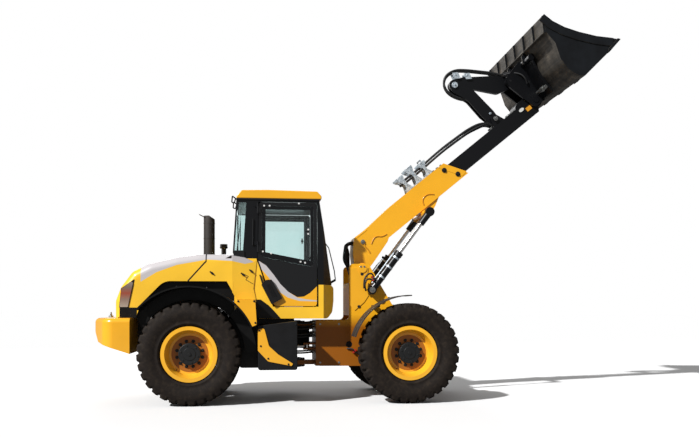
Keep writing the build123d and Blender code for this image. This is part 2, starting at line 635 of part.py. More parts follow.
def lift_pin():
    """A stub pin with a welding collar, seated on the tower's outer face."""
    face = TOWER_OUTER_Y + SEAT_GAP
    pin = rod_y(LIFT_FOOT[0], LIFT_FOOT[1], LIFT_PIN, -LIFT_Y - 62, -face)
    return pin + rod_y(LIFT_FOOT[0], LIFT_FOOT[1], LIFT_PIN + 20, -face - 7, -face)


keep("lift_pins", both_sides(lift_pin()))


def front_fender():
    inner_y, outer_y = 660.0, 1100.0
    radius = 748.0
    ring = rod_y(FRONT_X, AXLE_HEIGHT, radius + 14, -outer_y, -inner_y)
    ring -= rod_y(FRONT_X, AXLE_HEIGHT, radius, -outer_y - 1, -inner_y + 1)
    sector = prism([(FRONT_X, AXLE_HEIGHT), (FRONT_X - 1300, AXLE_HEIGHT + 380), (FRONT_X - 1000, 2000),
                    (FRONT_X + 30, 2000)], -outer_y - 5, -inner_y + 5)
    stay = block(FRONT_X - 420, FRONT_X - 340, -inner_y - 20, -TOWER_OUTER_Y - SEAT_GAP, 1262, 1290)
    return (ring & sector) + stay


keep("front_fenders", both_sides(front_fender()))

# ---------------------------------------------------------------- boom


def boom_outer():
    half = BOOM_WIDTH / 2
    low, high, wall = BOOM_LOW_W, BOOM_TOP_W, BOOM_WALL
    side = prism([(-60, 60), (60, 250), (BOOM_REAR_U, 402), (420, 396), (880, high),
                  (BOOM_MOUTH_TOP_U, high), (BOOM_MOUTH_LOW_U, low), (600, low), (545, 62),
                  (240, -30), (60, -75)], -half, half)
    side += rod_y(0, 0, 95, -half, half)
    side -= block(300, BOOM_MOUTH_LOW_U + 50, -half + wall, half - wall, low + wall, BOOM_CEILING_W)
    inner_half = INNER_WIDTH / 2 + SEAT_GAP
    pads = [
        block(1700, 1850, -90, 90, low + 5, INNER_LOW_W - SEAT_GAP),
        block(1700, 1850, -90, 90, INNER_TOP_W + SEAT_GAP, BOOM_CEILING_W + 5),
        block(1930, 2040, -90, 90, low + 5, INNER_LOW_W - SEAT_GAP),
        block(1700, 1850, inner_half, half - 5, 200, 300),
        block(1700, 1850, -half + 5, -inner_half, 200, 300),
    ]
    tube_end = LIFT_Y - LIFT_EYE_IN - SEAT_GAP
    bracket = prism([(1180, low + 5), (1545, low + 5), (1420, 30), (LIFT_EYE[0] + 40, LIFT_EYE[1] - 55),
                     (LIFT_EYE[0] - 40, LIFT_EYE[1] - 50)], -half + 20, half - 20)
    hub_end = TOWER_OUTER_Y - TOWER_PLATE - 1
    boom = side + pads + rod_y(0, 0, 80, -hub_end, hub_end)
    boom += bracket + rod_y(LIFT_EYE[0], LIFT_EYE[1], 60, -tube_end, tube_end)
    boom -= rod_y(0, 0, BOOM_PIN + PIN_GAP, -600, 600)
    return on_boom(boom)


def hose_guides():
    """Galvanised frames that lead the hoses over the outer boom."""
    guides = []
    for u, top in ((1300, 660), (1480, 700), (1660, 680)):
        plate = block(u, u + 14, -110, 110, BOOM_TOP_W + SEAT_GAP, top)
        guides.append(plate - block(u - 1, u + 15, -90, 90, BOOM_TOP_W + 26, top - 22))
    rails = [block(1290, 1720, y, y + 14, BOOM_TOP_W + SEAT_GAP, BOOM_TOP_W + 16) for y in (-110, 96)]
    return on_boom(Part() + guides + rails)


def boom_inner():
    half = INNER_WIDTH / 2
    low, high = INNER_LOW_W, INNER_TOP_W
    pin_u, pin_w = BUCKET_PIN
    tube = block(INNER_REAR_U, pin_u - 60, -half, half, low, high)
    tube -= block(INNER_REAR_U - 1, pin_u - 300, -half + INNER_WALL, half - INNER_WALL, low + INNER_WALL,
                  high - INNER_WALL)
    tube += rounded([(3240, low, 0), (3240, 400, 60), (3330, pin_w + 128, 120), (pin_u - 60, pin_w + 128, 60),
                     (pin_u + 30, pin_w + 90, 60), (pin_u + 10, pin_w - 60, 0), (pin_u - 55, low, 0)],
                     -half, half)
    tube += rod_y(pin_u, pin_w, 104, -half, half)
    tube += block(INNER_REAR_U, INNER_REAR_U + 90, -half + 30, half - 30,
                  BOOM_LOW_W + BOOM_WALL + SEAT_GAP, low + 5)
    tube += block(INNER_REAR_U, INNER_REAR_U + 90, -half + 30, half - 30, high - 5, BOOM_CEILING_W - SEAT_GAP)
    for s in (1, -1):  # ears that carry the rocker
        y0, y1 = sorted((s * 66, s * 96))
        tube += prism([(ROCKER_PIN[0] - 90, high - 5), (ROCKER_PIN[0] - 50, ROCKER_PIN[1] + 50),
                       (ROCKER_PIN[0] + 50, ROCKER_PIN[1] + 50), (ROCKER_PIN[0] + 110, high - 5)], y0, y1)
    tube += rod_y(*ROCKER_PIN, 32, -104, 104)
    tube -= rod_y(*BUCKET_PIN, 42 + PIN_GAP, -400, 400)
    return on_boom(tube)


LINK_HALF = 34.0
CHEEK_IN = 40.0
CHEEK_OUT = 64.0


def rocker():
    """Two cheeks on the boom's ears, with the link between them at the top."""
    (pin_u, pin_w), (top_u, top_w) = ROCKER_PIN, ROCKER_TOP_PIN
    outline = [
        (pin_u - 66, pin_w - 68, 60), (pin_u - 122, pin_w + 150, 80), (pin_u - 140, pin_w + 450, 120),
        (top_u - 80, top_w - 60, 60), (top_u - 62, top_w + 82, 70), (top_u + 72, top_w + 78, 70),
        (top_u + 88, top_w - 60, 60), (pin_u + 18, pin_w + 550, 120), (pin_u + 68, pin_w + 110, 80),
        (pin_u + 66, pin_w - 68, 60)]
    arm = Part() + both_sides(rounded(outline, -CHEEK_OUT, -CHEEK_IN))
    a = math.atan2(top_w - pin_w, top_u - pin_u)
    reach = 330
    arm += bar_between(ROCKER_PIN, (pin_u + reach * math.cos(a), pin_w + reach * math.sin(a)),
                       -CHEEK_IN - 2, CHEEK_IN + 2, 30, 34)
    arm -= rod_y(*ROCKER_PIN, 32 + PIN_GAP, -200, 200)
    arm += rod_y(*ROCKER_TOP_PIN, 30, -76, 76)
    return on_boom(arm)


def tilt_link():
    """A deep plate link, drawn along its own length from the rocker's pin to the hitch's."""
    du, dw = COUPLER_PIN[0] - ROCKER_TOP_PIN[0], COUPLER_PIN[1] - ROCKER_TOP_PIN[1]
    length, fall = math.hypot(du, dw), math.degrees(math.atan2(dw, du))
    outline = [(-66, -62, 60), (-66, 72, 60), (130, 118, 100), (length - 110, 118, 80), (length + 66, 58, 60),
               (length + 64, -64, 60), (length - 170, -148, 80), (250, -56, 200)]
    link = rounded(outline, -LINK_HALF, LINK_HALF)
    link -= rod_y(0, 0, 30 + PIN_GAP, -200, 200)
    link = Pos(ROCKER_TOP_PIN[0], 0, ROCKER_TOP_PIN[1]) * Rot(0, -fall, 0) * link
    return on_boom(link)


HOOK_TUBE = (3722.0, 812.0)


def coupler():
    """Quick hitch between the boom's head and the bucket."""
    pin_u, pin_w = BUCKET_PIN
    link_u, link_w = COUPLER_PIN
    parts = []
    for s in (1, -1):
        y0, y1 = sorted((s * 130, s * 165))
        parts.append(rounded([
            (pin_u - 85, pin_w - 82, 60), (link_u - 70, link_w - 60, 60), (link_u - 40, link_w + 70, 50),
            (3690, 880, 40), (3725, 850, 10), (3680, 500, 40), (3672, pin_w - 82, 20)], y0, y1))
        y0, y1 = sorted((s * 37.5, s * 135))
        parts.append(rod_y(link_u, link_w, 58, y0, y1))
    frame = Part() + parts
    frame += rod_y(pin_u, pin_w, 42, -176, 176)
    plate = prism([(3658, 240), (3655, 500), (3700, 770), (3722, 770), (3680, 500), (3680, 240)], -520, 520)
    frame += plate - block(3600, 3700, -131, 131, 200, pin_w + 215)
    frame += rod_y(*HOOK_TUBE, 45, -520, 520)
    return frame


BUCKET_BACK = [  # along and across the boom, from the top lip down the back to the cutting edge
    (3883, 1121), (3765, 933), (3775, 733), (3700, 520), (3700, 365), (3760, 205), (3830, 150), (4292, 196),
    (4518, 234),
]


BUCKET_MOUTH = [(3883, 1121), (3920, 980), (4000, 820), (4120, 650), (4280, 460), (4450, 300), (4518, 234)]
CUTTER = 14.0  # thickness of the side cutters
CUTTER_WIDTH = 105.0
BACK_RIBS = 7
WEAR_STRIPS = (-860.0, -290.0, 290.0, 860.0)


def inwards(points, width):
    """The same run of points, moved square to itself by a width, towards the bucket's inside."""
    moved = []
    for k, (u, w) in enumerate(points):
        (u0, w0), (u1, w1) = points[max(k - 1, 0)], points[min(k + 1, len(points) - 1)]
        run = math.hypot(u1 - u0, w1 - w0)
        moved.append((u + (w1 - w0) / run * width, w - (u1 - u0) / run * width))
    return moved


def bucket():
    half = BUCKET_WIDTH / 2
    outer = BUCKET_BACK
    shell_outline = outer + [(4515, 248), (4290, 211), (3834, 165), (3772, 216), (3715, 368), (3715, 515),
                             (3790, 730), (3780, 930), (3893, 1112)]
    inside = half - CUTTER
    body = prism(shell_outline, -inside, inside)
    side_outline = outer[:-1] + BUCKET_MOUTH[:0:-1]
    cutter = BUCKET_MOUTH[:-1] + inwards(BUCKET_MOUTH[:-1], CUTTER_WIDTH)[::-1]
    for side in (1, -1):
        low, high = sorted((side * inside, side * (inside - BUCKET_PLATE)))
        body += prism(side_outline, low, high)
        low, high = sorted((side * half, side * (inside - 2)))
        body += prism(cutter, low, high)
    body += prism([(4290, 190), (4518, 228), (4518, 234), (4496, 262), (4300, 226)], -half, half)
    for k in range(BACK_RIBS):  # stiffeners behind the spill guard, on a ledge
        y = -inside + 8 + k * (2 * inside - 24) / (BACK_RIBS - 1)
        body += prism([(3880, 1116), (3846, 1120), (3738, 944), (3742, 920), (3774, 932)], y - 4, y + 12 - 4)
    body += prism([(3736, 922), (3732, 936), (3772, 950), (3776, 930)], -inside, inside)
    for y in WEAR_STRIPS:
        body += prism([(3834, 152), (4288, 197), (4290, 185), (3836, 140)], y - 60, y + 60)
    for y in (-330, 300):  # hooks over the hitch's tube
        hook = prism([(3772, 935), (3700, 905), (3655, 812), (3684, 790), (3730, 790), (3778, 745)],
                     y, y + 30)
        body += hook - rod_y(*HOOK_TUBE, 45 + SEAT_GAP, -600, 600)
        body += block(3680 + SEAT_GAP, 3706, y, y + 30, 380, 500)
    return body


def hose(points, y, radius):
    """A hose of straight runs and arcs through (u, w) points of the boom, at one y."""
    path = [(u, y, w) for u, w in points]
    turns = []
    for a, b, c in zip(points, points[1:], points[2:]):
        before, after = (b[0] - a[0], b[1] - a[1]), (c[0] - b[0], c[1] - b[1])
        turn = abs(math.atan2(before[0] * after[1] - before[1] * after[0],
                              before[0] * after[0] + before[1] * after[1]))
        turns.append(0.45 * min(math.hypot(*before), math.hypot(*after)) / math.tan(turn / 2))
    line = FilletPolyline(*path, radius=turns)
    start = Plane(origin=path[0], z_dir=Vector(*path[1]) - Vector(*path[0]))
    return sweep(start * Circle(radius), path=line)


BOOM_HOSE = [(1240, 598), (1740, 590), (2240, 560), (2500, 530), (2660, 500), (2764, 460), (PORT_U, 415),
             (PORT_U, INNER_TOP_W + SEAT_GAP)]
keep("boom_hoses", [on_boom(hose(BOOM_HOSE, y, 13)) for y in (-45, 25)])
keep("boom_outer", boom_outer())
keep("hose_guides", hose_guides())
keep("boom_inner", boom_inner())
keep("rocker", rocker())
keep("tilt_link", tilt_link())
keep("coupler", on_boom(coupler()))
keep("bucket", on_boom(bucket()))

# ---------------------------------------------------------------- lift cylinders
eye_x, eye_z = boom_point(*LIFT_EYE)
LIFT_LENGTH = math.hypot(eye_x - LIFT_FOOT[0], eye_z - LIFT_FOOT[1])
LIFT_ELEVATION = math.degrees(math.atan2(eye_z - LIFT_FOOT[1], eye_x - LIFT_FOOT[0]))
LIFT_BARREL = 650.0
LIFT_BORE_FROM = 120.0
LIFT_ROD_LENGTH = 778.0


def lift_place(shape):
    return Pos(LIFT_FOOT[0], 0, LIFT_FOOT[1]) * Rot(0, -LIFT_ELEVATION, 0) * shape


def lift_barrel():
    y = -LIFT_Y
    barrel = rod_x(y, 0, 52, 40, LIFT_BARREL) + rod_y(0, 0, 62, y - 27, y + 27)
    barrel += rod_x(y, 0, 58, LIFT_BARREL - 60, LIFT_BARREL)
    barrel -= rod_x(y, 0, 28 + PIN_GAP, LIFT_BORE_FROM, LIFT_BARREL + 1)
    barrel -= rod_y(0, 0, LIFT_PIN + PIN_GAP, y - 60, y + 60)
    return lift_place(barrel)


def lift_rod():
    y = -LIFT_Y
    rod = rod_x(y, 0, 28, LIFT_LENGTH - LIFT_ROD_LENGTH, LIFT_LENGTH - 20)
    rod += rod_y(LIFT_LENGTH, 0, 62, y - LIFT_EYE_IN, y + LIFT_EYE_IN)
    rod += rod_x(y, 0, 40, LIFT_LENGTH - 110, LIFT_LENGTH - 30)
    return lift_place(rod)


for side_name, flip in (("right", False), ("left", True)):
    for label, shape in (("barrel", lift_barrel()), ("rod", lift_rod())):
        keep(f"lift_{label}_{side_name}", mirror(shape, Plane.XZ) if flip else shape)


# ---------------------------------------------------------------- steering cylinders


def steer_place(shape):
    angle = math.degrees(math.atan2(STEER_EYE[1] - STEER_Y, STEER_EYE[0] - STEER_FOOT_X))
    return Pos(STEER_FOOT_X, -STEER_Y, STEER_Z) * Rot(0, 0, -angle) * shape


STEER_LENGTH = math.hypot(STEER_EYE[0] - STEER_FOOT_X, STEER_EYE[1] - STEER_Y)


def steer_barrel():
    barrel = rod_x(0, 0, 38, 48, STEER_BARREL) + rod_z(0, 0, 40, -24, 24) + rod_x(0, 0, 22, 24, 60)
    barrel -= rod_x(0, 0, 18 + PIN_GAP, 60, STEER_BARREL + 1)
    barrel -= rod_z(0, 0, 20 + PIN_GAP, -30, 30)
    return steer_place(barrel)


def steer_rod():
    rod = rod_x(0, 0, 18, STEER_ROD_IN, STEER_LENGTH - 20) + rod_z(STEER_LENGTH, 0, 36, -22, 22)
    return steer_place(rod)


for side_name, flip in (("right", False), ("left", True)):
    for label, shape in (("barrel", steer_barrel()), ("rod", steer_rod())):
        keep(f"steer_{label}_{side_name}", mirror(shape, Plane.XZ) if flip else shape)

# ---------------------------------------------------------------- place and write
rear_x = min(s.bounding_box().min.X for s in NODES["counterweight"])
front_x = max(s.bounding_box().max.X for s in NODES["bucket"])
ground_z = min(s.bounding_box().min.Z for s in NODES["wheel_front_right_tyre"])
SHIFT = (-(rear_x + front_x) / 2, 0, -ground_z)

if __name__ == "__main__":
    os.makedirs("parts", exist_ok=True)
    for name, solids in NODES.items():
        children = [s if isinstance(s, Solid) else Part(s.wrapped) for s in solids]
        part = Pos(*SHIFT) * Compound(children=children)
        export_step(part, f"parts/{name}.step")
    print(len(NODES), "nodes, shifted by", SHIFT)
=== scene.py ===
# %% [markdown]
# # An articulated wheel loader with a telescopic boom
# The machine stands on its four tyres with the boom raised and the bucket curled back.
# The sizes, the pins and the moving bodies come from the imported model, and this lesson dresses them:
# first the tools and the light, then one finish after the other, then each group of pieces.

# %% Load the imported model
import json
import math

import bmesh
import bpy
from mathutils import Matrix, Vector


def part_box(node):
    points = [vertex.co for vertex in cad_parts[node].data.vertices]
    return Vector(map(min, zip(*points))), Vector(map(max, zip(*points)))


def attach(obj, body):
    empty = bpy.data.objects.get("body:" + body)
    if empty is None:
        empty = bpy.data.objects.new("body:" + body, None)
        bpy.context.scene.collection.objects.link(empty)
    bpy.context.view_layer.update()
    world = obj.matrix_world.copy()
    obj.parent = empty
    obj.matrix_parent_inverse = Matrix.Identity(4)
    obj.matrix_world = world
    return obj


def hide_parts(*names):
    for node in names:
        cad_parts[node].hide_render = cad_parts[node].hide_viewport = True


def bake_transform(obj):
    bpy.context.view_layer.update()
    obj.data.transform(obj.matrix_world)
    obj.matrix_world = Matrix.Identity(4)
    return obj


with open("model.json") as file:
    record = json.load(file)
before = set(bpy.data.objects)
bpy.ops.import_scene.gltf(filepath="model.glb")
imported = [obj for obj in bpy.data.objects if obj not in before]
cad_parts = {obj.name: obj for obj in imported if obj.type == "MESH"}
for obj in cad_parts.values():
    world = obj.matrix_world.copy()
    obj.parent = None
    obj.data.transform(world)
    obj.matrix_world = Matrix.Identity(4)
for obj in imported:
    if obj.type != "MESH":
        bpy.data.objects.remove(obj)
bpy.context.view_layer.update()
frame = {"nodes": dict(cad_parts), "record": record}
joints = {j["name"]: j for j in frame["record"]["behaviour"]["joints"]}
slot_of = {s["node"]: s["material_slot"] for s in frame["record"]["subparts"]}

# %% [markdown]
# Every place is worked out from the solids. `at` takes millimetres from the rear axle, which is how the
# body panels are laid out, and `on_boom` takes millimetres along and across the boom from its foot pin.
# A drawing made this way stays right if the whole machine is moved in its frame.

# %% Places on the machine
MM = 0.001
SIDES = (-1, 1)  # right, left


def middle(node):
    low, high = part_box(node)
    return (low + high) / 2


rear_axle = middle("wheel_rear_right_tyre")
front_axle = middle("wheel_front_right_tyre")
boom_pin = Vector(joints["boom_lift"]["pos_m"])
boom_line = Vector(joints["boom_telescope"]["axis"])
boom_up = Vector((-boom_line.z, 0, boom_line.x))


def at(x, y, z):
    """Millimetres forward of the rear axle, to the left and above the ground."""
    return Vector((rear_axle.x + x * MM, y * MM, z * MM))


def on_boom(u, y, w):
    """Millimetres along the boom, to the left and across it, from the foot pin."""
    return boom_pin + boom_line * (u * MM) + boom_up * (w * MM) + Vector((0, y * MM, 0))


print("wheelbase", round(front_axle.x - rear_axle.x, 3), "m, boom pin at", tuple(round(c, 3) for c in boom_pin))

# %% [markdown]
# The camera stands level, just under the height of the tyres' tops, eleven metres to the right of the
# machine, and looks slightly forwards. It is kept level so that uprights stay upright, and a lens shift,
# as on an architect's camera, lifts the view to the raised bucket.

# %% Camera
CAMERA_PLACE = (-1.340, -11.247, 1.223)
CAMERA_YAW = 6.6  # degrees towards the bucket
LENS = 40.7
LENS_SHIFT = 0.131

camera = bpy.data.objects.new("camera", bpy.data.cameras.new("camera"))
bpy.context.scene.collection.objects.link(camera)
camera.location = CAMERA_PLACE
camera.rotation_euler = (math.pi / 2, 0, math.radians(-CAMERA_YAW))
camera.data.lens = LENS
camera.data.sensor_width = 36
camera.data.shift_y = LENS_SHIFT
camera.data.clip_end = 300
bpy.context.scene.camera = camera
bpy.context.scene.view_settings.view_transform = "Standard"
print("camera at", CAMERA_PLACE, "lens", LENS)

# %% [markdown]
# A colour is written as a painter reads it from a chart, as sRGB hex, and one function turns it into the
# linear numbers that the renderer adds up. One more function adds any node with its settings and links,
# and short ones stand for the nodes that come again and again, so every material is a short recipe.

# %% Colour and node helpers


def linear(code):
    """An sRGB hex colour as linear RGBA."""
    channels = [int(code[i:i + 2], 16) / 255 for i in (1, 3, 5)]
    return [c / 12.92 if c <= 0.04045 else ((c + 0.055) / 1.055) ** 2.4 for c in channels] + [1.0]


def add(tree, kind, out=None, settings=(), **inputs):
    """Add a node and give back its output called out, or else the node.

    Settings are its own properties, stops of a colour ramp or points of a curve. Inputs are sockets by
    name, or by number as i0, i1 and so on, and take a value or a link.
    """
    node = tree.nodes.new("ShaderNode" + kind)
    for key, value in dict(settings).items():
        if key == "stops":
            while len(node.color_ramp.elements) < len(value):
                node.color_ramp.elements.new(0.5)
            for element, (place, colour) in zip(node.color_ramp.elements, value):
                element.position = place
                element.color = colour
        elif key == "points":
            curve = node.mapping.curves[0]
            while len(curve.points) < len(value):
                curve.points.new(0.5, 0.5)
            for point, place in zip(curve.points, value):
                point.location = place
                point.handle_type = "VECTOR"
            node.mapping.update()
        else:
            setattr(node, key, value)
    for key, value in inputs.items():
        number = key[0] == "i" and key[1:].isdigit()
        socket = node.inputs[int(key[1:])] if number else node.inputs[key.replace("_", " ")]
        if isinstance(value, bpy.types.NodeSocket):
            tree.links.new(value, socket)
        else:
            socket.default_value = value
    return node.outputs[out] if out is not None else node


def new_material(name, **values):
    """A material with its tree, its shader with plain values set, and the object's coordinates in metres."""
    material = bpy.data.materials.new(name)
    material.use_nodes = True
    tree = material.node_tree
    tree.nodes.clear()
    shader = add(tree, "BsdfPrincipled", **values)
    add(tree, "OutputMaterial", Surface=shader.outputs["BSDF"])
    place = add(tree, "TexCoord", "Object")
    return material, tree, shader, place


def wire(shader, **links):
    """Link outputs to the shader's inputs, by name."""
    for name, output in links.items():
        shader.id_data.links.new(output, shader.inputs[name.replace("_", " ")])


def noise(tree, place, size, detail, rough=0.5):
    """Cloudy noise, with lumps of this size in metres."""
    return add(tree, "TexNoise", "Fac", Vector=place, Scale=1 / size, Detail=detail, Roughness=rough)


def calc(tree, operation, first, second=None, clamp=False):
    """A sum with one number or with two."""
    numbers = {"i0": first} if second is None else {"i0": first, "i1": second}
    return add(tree, "Math", 0, {"operation": operation, "use_clamp": clamp}, **numbers)


def spread(tree, value, low=0.0, high=1.0, start=0.0, end=1.0):
    """A number that goes from start to end while the value goes from low to high, and stays there."""
    return add(tree, "MapRange", 0, Value=value, i1=low, i2=high, i3=start, i4=end)


def ramp(tree, value, stops):
    """A colour from a row of (place, colour), with the colours as sRGB hex or already linear."""
    stops = [(place, linear(c) if isinstance(c, str) else c) for place, c in stops]
    return add(tree, "ValToRGB", "Color", {"stops": stops}, Fac=value)


def lay(tree, share, below, above):
    """One colour laid over another, by a share from 0 to 1."""
    return add(tree, "Mix", 2, {"data_type": "RGBA"}, i0=share, i6=below, i7=above)


def bump(tree, height, strength, distance):
    """Relief from a height, this far from top to bottom in metres."""
    return add(tree, "Bump", 0, Strength=strength, Distance=distance, Height=height)

print("one function adds any node, and seven short ones lean on it")

# %% [markdown]
# The floor is a plain pale board that keeps the machine's shadow. To the camera and through glass it is
# white wherever the sun falls on it, as in a catalogue. The light that it throws up on the machine, and
# what mirrors show of it, comes from a greyer board, so that the underside and the shaded panels stay dark.

# %% Floor and sky
SKY_LIGHT = 0.24
FLOOR_WHITE = 0.85  # under this sun and sky it comes out just white
FLOOR_BOUNCE = 0.26

world = bpy.data.worlds.new("studio")
bpy.context.scene.world = world
world.use_nodes = True
sky = world.node_tree
sky.nodes.clear()
paths = add(sky, "LightPath")
seen = calc(sky, "MAXIMUM", paths.outputs["Is Camera Ray"], paths.outputs["Is Transmission Ray"])
level = add(sky, "Mix", 0, {"data_type": "FLOAT"}, i0=seen, i2=SKY_LIGHT, i3=1.0)
glow = add(sky, "Background", 0, Color=linear("#FFFFFF"), Strength=level)
add(sky, "OutputWorld", Surface=glow)


def floor_material():
    """Matt white board, whose paint shows its full whiteness to the eye alone."""
    material, tree, shader, place = new_material("matt white floor board", Roughness=0.95)
    shader.inputs["Specular IOR Level"].default_value = 0.0
    paths = add(tree, "LightPath")
    straight = calc(tree, "MAXIMUM", paths.outputs["Is Camera Ray"], paths.outputs["Is Transmission Ray"])
    grain = noise(tree, place, 0.02, 2.0)
    white = spread(tree, grain, 0.0, 1.0, FLOOR_WHITE * 0.995, FLOOR_WHITE)
    tone = add(tree, "Mix", 0, {"data_type": "FLOAT"}, i0=straight, i2=FLOOR_BOUNCE, i3=white)
    wire(shader, Base_Color=tone)
    return material


bpy.ops.mesh.primitive_plane_add(size=400, location=(0, 0, 0))
floor = bpy.context.object
floor.name = "floor"
floor.data.materials.append(floor_material())
print("floor and sky are ready")

# %% [markdown]
# A clear sun stands a little under forty degrees up, on the left behind the camera. The machine's long side
# and its tops are bright, what faces forwards lies in shade, and the shadow falls away to the right. A
# second, weak and very broad lamp from the far side keeps the back readable as one walks round the machine.

# %% Lamps
SUN_FROM = (-0.62, -0.50, 0.60)
SUN_POWER = 4.9
SUN_WIDTH = 1.5  # degrees, nearly three times the real sun
sun = bpy.data.objects.new("sun", bpy.data.lights.new("sun", "SUN"))
sun.data.energy = SUN_POWER
sun.data.angle = math.radians(SUN_WIDTH)
sun.rotation_euler = Vector(SUN_FROM).to_track_quat("Z", "Y").to_euler()
bpy.context.scene.collection.objects.link(sun)
back = bpy.data.objects.new("back_lamp", bpy.data.lights.new("back_lamp", "AREA"))
back.data.shape = "DISK"
back.data.size = 9.0
back.data.energy = 520.0
back.location = (-3.0, 12.0, 8.0)
back.rotation_euler = (Vector(back.location) - Vector((0, 0, 1.5))).to_track_quat("Z", "Y").to_euler()
bpy.context.scene.collection.objects.link(back)
print("sun of", SUN_POWER, "and back lamp of", back.data.energy)

# %% [markdown]
# ## Finishes
# Machine yellow is a two-pack enamel sprayed on steel plate. Three things tell the eye that it is paint:
# a faint orange-peel, where the wet film drew together, a clear gloss over a softer colour, and a tone
# that drifts a little from panel to panel. Low down a thin film of dust takes the shine away. One recipe
# serves every enamel, and a piece with a band in another colour adds its band between colour and dust.

# %% Sprayed enamel
ORANGE_PEEL = 7 * MM  # from one dimple to the next, coarser than real so that it shows
DRIFT = 420 * MM
DUST_TOP = 1.05  # metres above the ground


def enamel(name, code, band=None, gloss=0.32, coat=0.35, dust=0.35, dust_code="#8B7355", shine=0.5):
    material, tree, shader, place = new_material(name, IOR=1.5, Coat_Weight=coat, Coat_Roughness=0.12)
    shader.inputs["Specular IOR Level"].default_value = shine
    drift = noise(tree, place, DRIFT, 3.0)
    colour = linear(code)
    darker = [c * 0.90 for c in colour[:3]] + [1]
    film = ramp(tree, drift, ((0.3, darker), (0.65, colour)))
    if band:
        film = band(tree, place, film)
    up = add(tree, "SeparateXYZ", "Z", Vector=place)
    low = spread(tree, up, 0.0, DUST_TOP, dust, 0.0)
    patches = noise(tree, place, 0.09, 6.0, 0.7)
    dirt = calc(tree, "MULTIPLY", low, patches, clamp=True)
    film = lay(tree, dirt, film, linear(dust_code))
    wire(shader, Base_Color=film)
    dull = spread(tree, dirt, 0.0, 0.4, gloss, 0.75)
    wire(shader, Roughness=dull)
    peel = noise(tree, place, ORANGE_PEEL, 1.0)
    wire(shader, Normal=bump(tree, peel, 0.5, 0.15 * MM))
    return material


YELLOW = "#F8B21E"
HIGHLIT_YELLOW = "#FFC830"  # the machine yellow a shade lighter on the hood's moulded panels, a painted highlight for their brighter sheen
BLACK = "#0B0C0F"
SILVER = "#C4BFC0"
yellow_enamel = enamel("machine yellow enamel on plate", YELLOW)
black_enamel = enamel("black enamel on plate", BLACK, gloss=0.38, coat=0.08, dust=0.16, shine=0.3)
rim_enamel = enamel("wheel yellow enamel", "#FDB926", gloss=0.3, coat=0.4, dust=0.22)
# painted shade: a darker wheel yellow for the disc inside the rim, where the rim's lip throws its shadow
shaded_disc_enamel = enamel("darker wheel yellow enamel, painted shade", "#A8640F", gloss=0.45, coat=0.1, dust_code="#5B3810")


def painted_shade_foot(tree, place, film):
    """Painted shade: browns the front frame below the axle's top, for the shadow that the cab and the side boxes
    throw on it.
    """
    up = add(tree, "SeparateXYZ", "Z", Vector=place)
    share = spread(tree, up, 0.98, 1.16, 1.0, 0.0)
    return lay(tree, share, film, linear("#9A580E"))


# painted shade: a darker yellow on the weld beads, standing for the shadow along each raised bead
shaded_weld_enamel = enamel("darker yellow enamel on a weld, painted shade", "#CF8A14", dust=0.2)
# painted shade: the front frame's enamel turns brown low down, by the band above
frame_enamel = enamel("machine yellow enamel with painted shade low down", YELLOW, band=painted_shade_foot, coat=0.08,
                      dust_code="#6B4415", shine=0.25)
print("six enamels, orange-peel every", ORANGE_PEEL / MM, "mm")

# %% [markdown]
# A silver band runs forward along the hood's rolled shoulder, narrows to a point on the cab's rear quarter,
# and sets off again down the door under its black glass. It is masked with tape and sprayed, so its edges
# are sharp. On the hood behind its seam the same silver is a painted reflection of the bright sky on the
# rolled shoulder. Each edge is a curve of height over length, drawn through points on a curve node, and a
# comparison with the point's own height says which side of the tape it is on.

# %% Silver band
HOOD_BAND_TOP = ((200, 1990), (520, 1945), (700, 1915), (812, 1862))
# on the hood behind its seam this edge bounds a painted reflection, and forward of the seam silver paint
HOOD_BAND_AND_REFLECTION_LOW = ((-640, 1590), (-440, 1715), (-180, 1812), (150, 1872), (200, 1884), (530, 1867),
                 (700, 1832), (812, 1858))
DOOR_BAND_TOP = ((843, 1895), (976, 1813), (1076, 1691), (1165, 1568), (1265, 1468), (1388, 1389),
                 (1501, 1367), (1650, 1352))
DOOR_BAND_LOW = ((843, 1808), (920, 1757), (1009, 1657), (1076, 1557), (1165, 1456), (1265, 1389),
                 (1411, 1345), (1650, 1338))
DOOR_BLACK_LOW = ((843, 1897), (976, 1813), (1076, 1691), (1165, 1568), (1265, 1468), (1388, 1395),
                  (1478, 1403), (1557, 1450), (1650, 1540))

HOOD_SEAM = ((-43, 1596), (185, 1850))
SEAM_OVER = 196  # where the seam crosses the hood's top


def edge_height(tree, place, points):
    """The height in metres of a band's edge, from (x, z) corners in millimetres from the rear axle."""
    xs = [x for x, z in points]
    zs = [z for x, z in points]
    left, right, low, high = min(xs), max(xs), min(zs) - 1, max(zs) + 1
    along = add(tree, "SeparateXYZ", "X", Vector=place)
    share = spread(tree, along, at(left, 0, 0).x, at(right, 0, 0).x)
    spots = [((x - left) / (right - left), (z - low) / (high - low)) for x, z in points]
    line = add(tree, "FloatCurve", 0, {"points": spots}, Value=share)
    return spread(tree, line, 0.0, 1.0, low * MM, high * MM)


def between(tree, place, low=None, high=None):
    """1 between two band edges, by height, and 0 elsewhere."""
    height = add(tree, "SeparateXYZ", "Z", Vector=place)
    mask = None
    for points, test in ((low, "GREATER_THAN"), (high, "LESS_THAN")):
        if points:
            side = calc(tree, test, height, edge_height(tree, place, points))
            mask = side if mask is None else calc(tree, "MULTIPLY", mask, side)
    return mask


def limited(tree, mask, value, test, limit):
    """The mask, kept only where a value passes a test."""
    keep = calc(tree, test, value, limit)
    return calc(tree, "MULTIPLY", mask, keep)


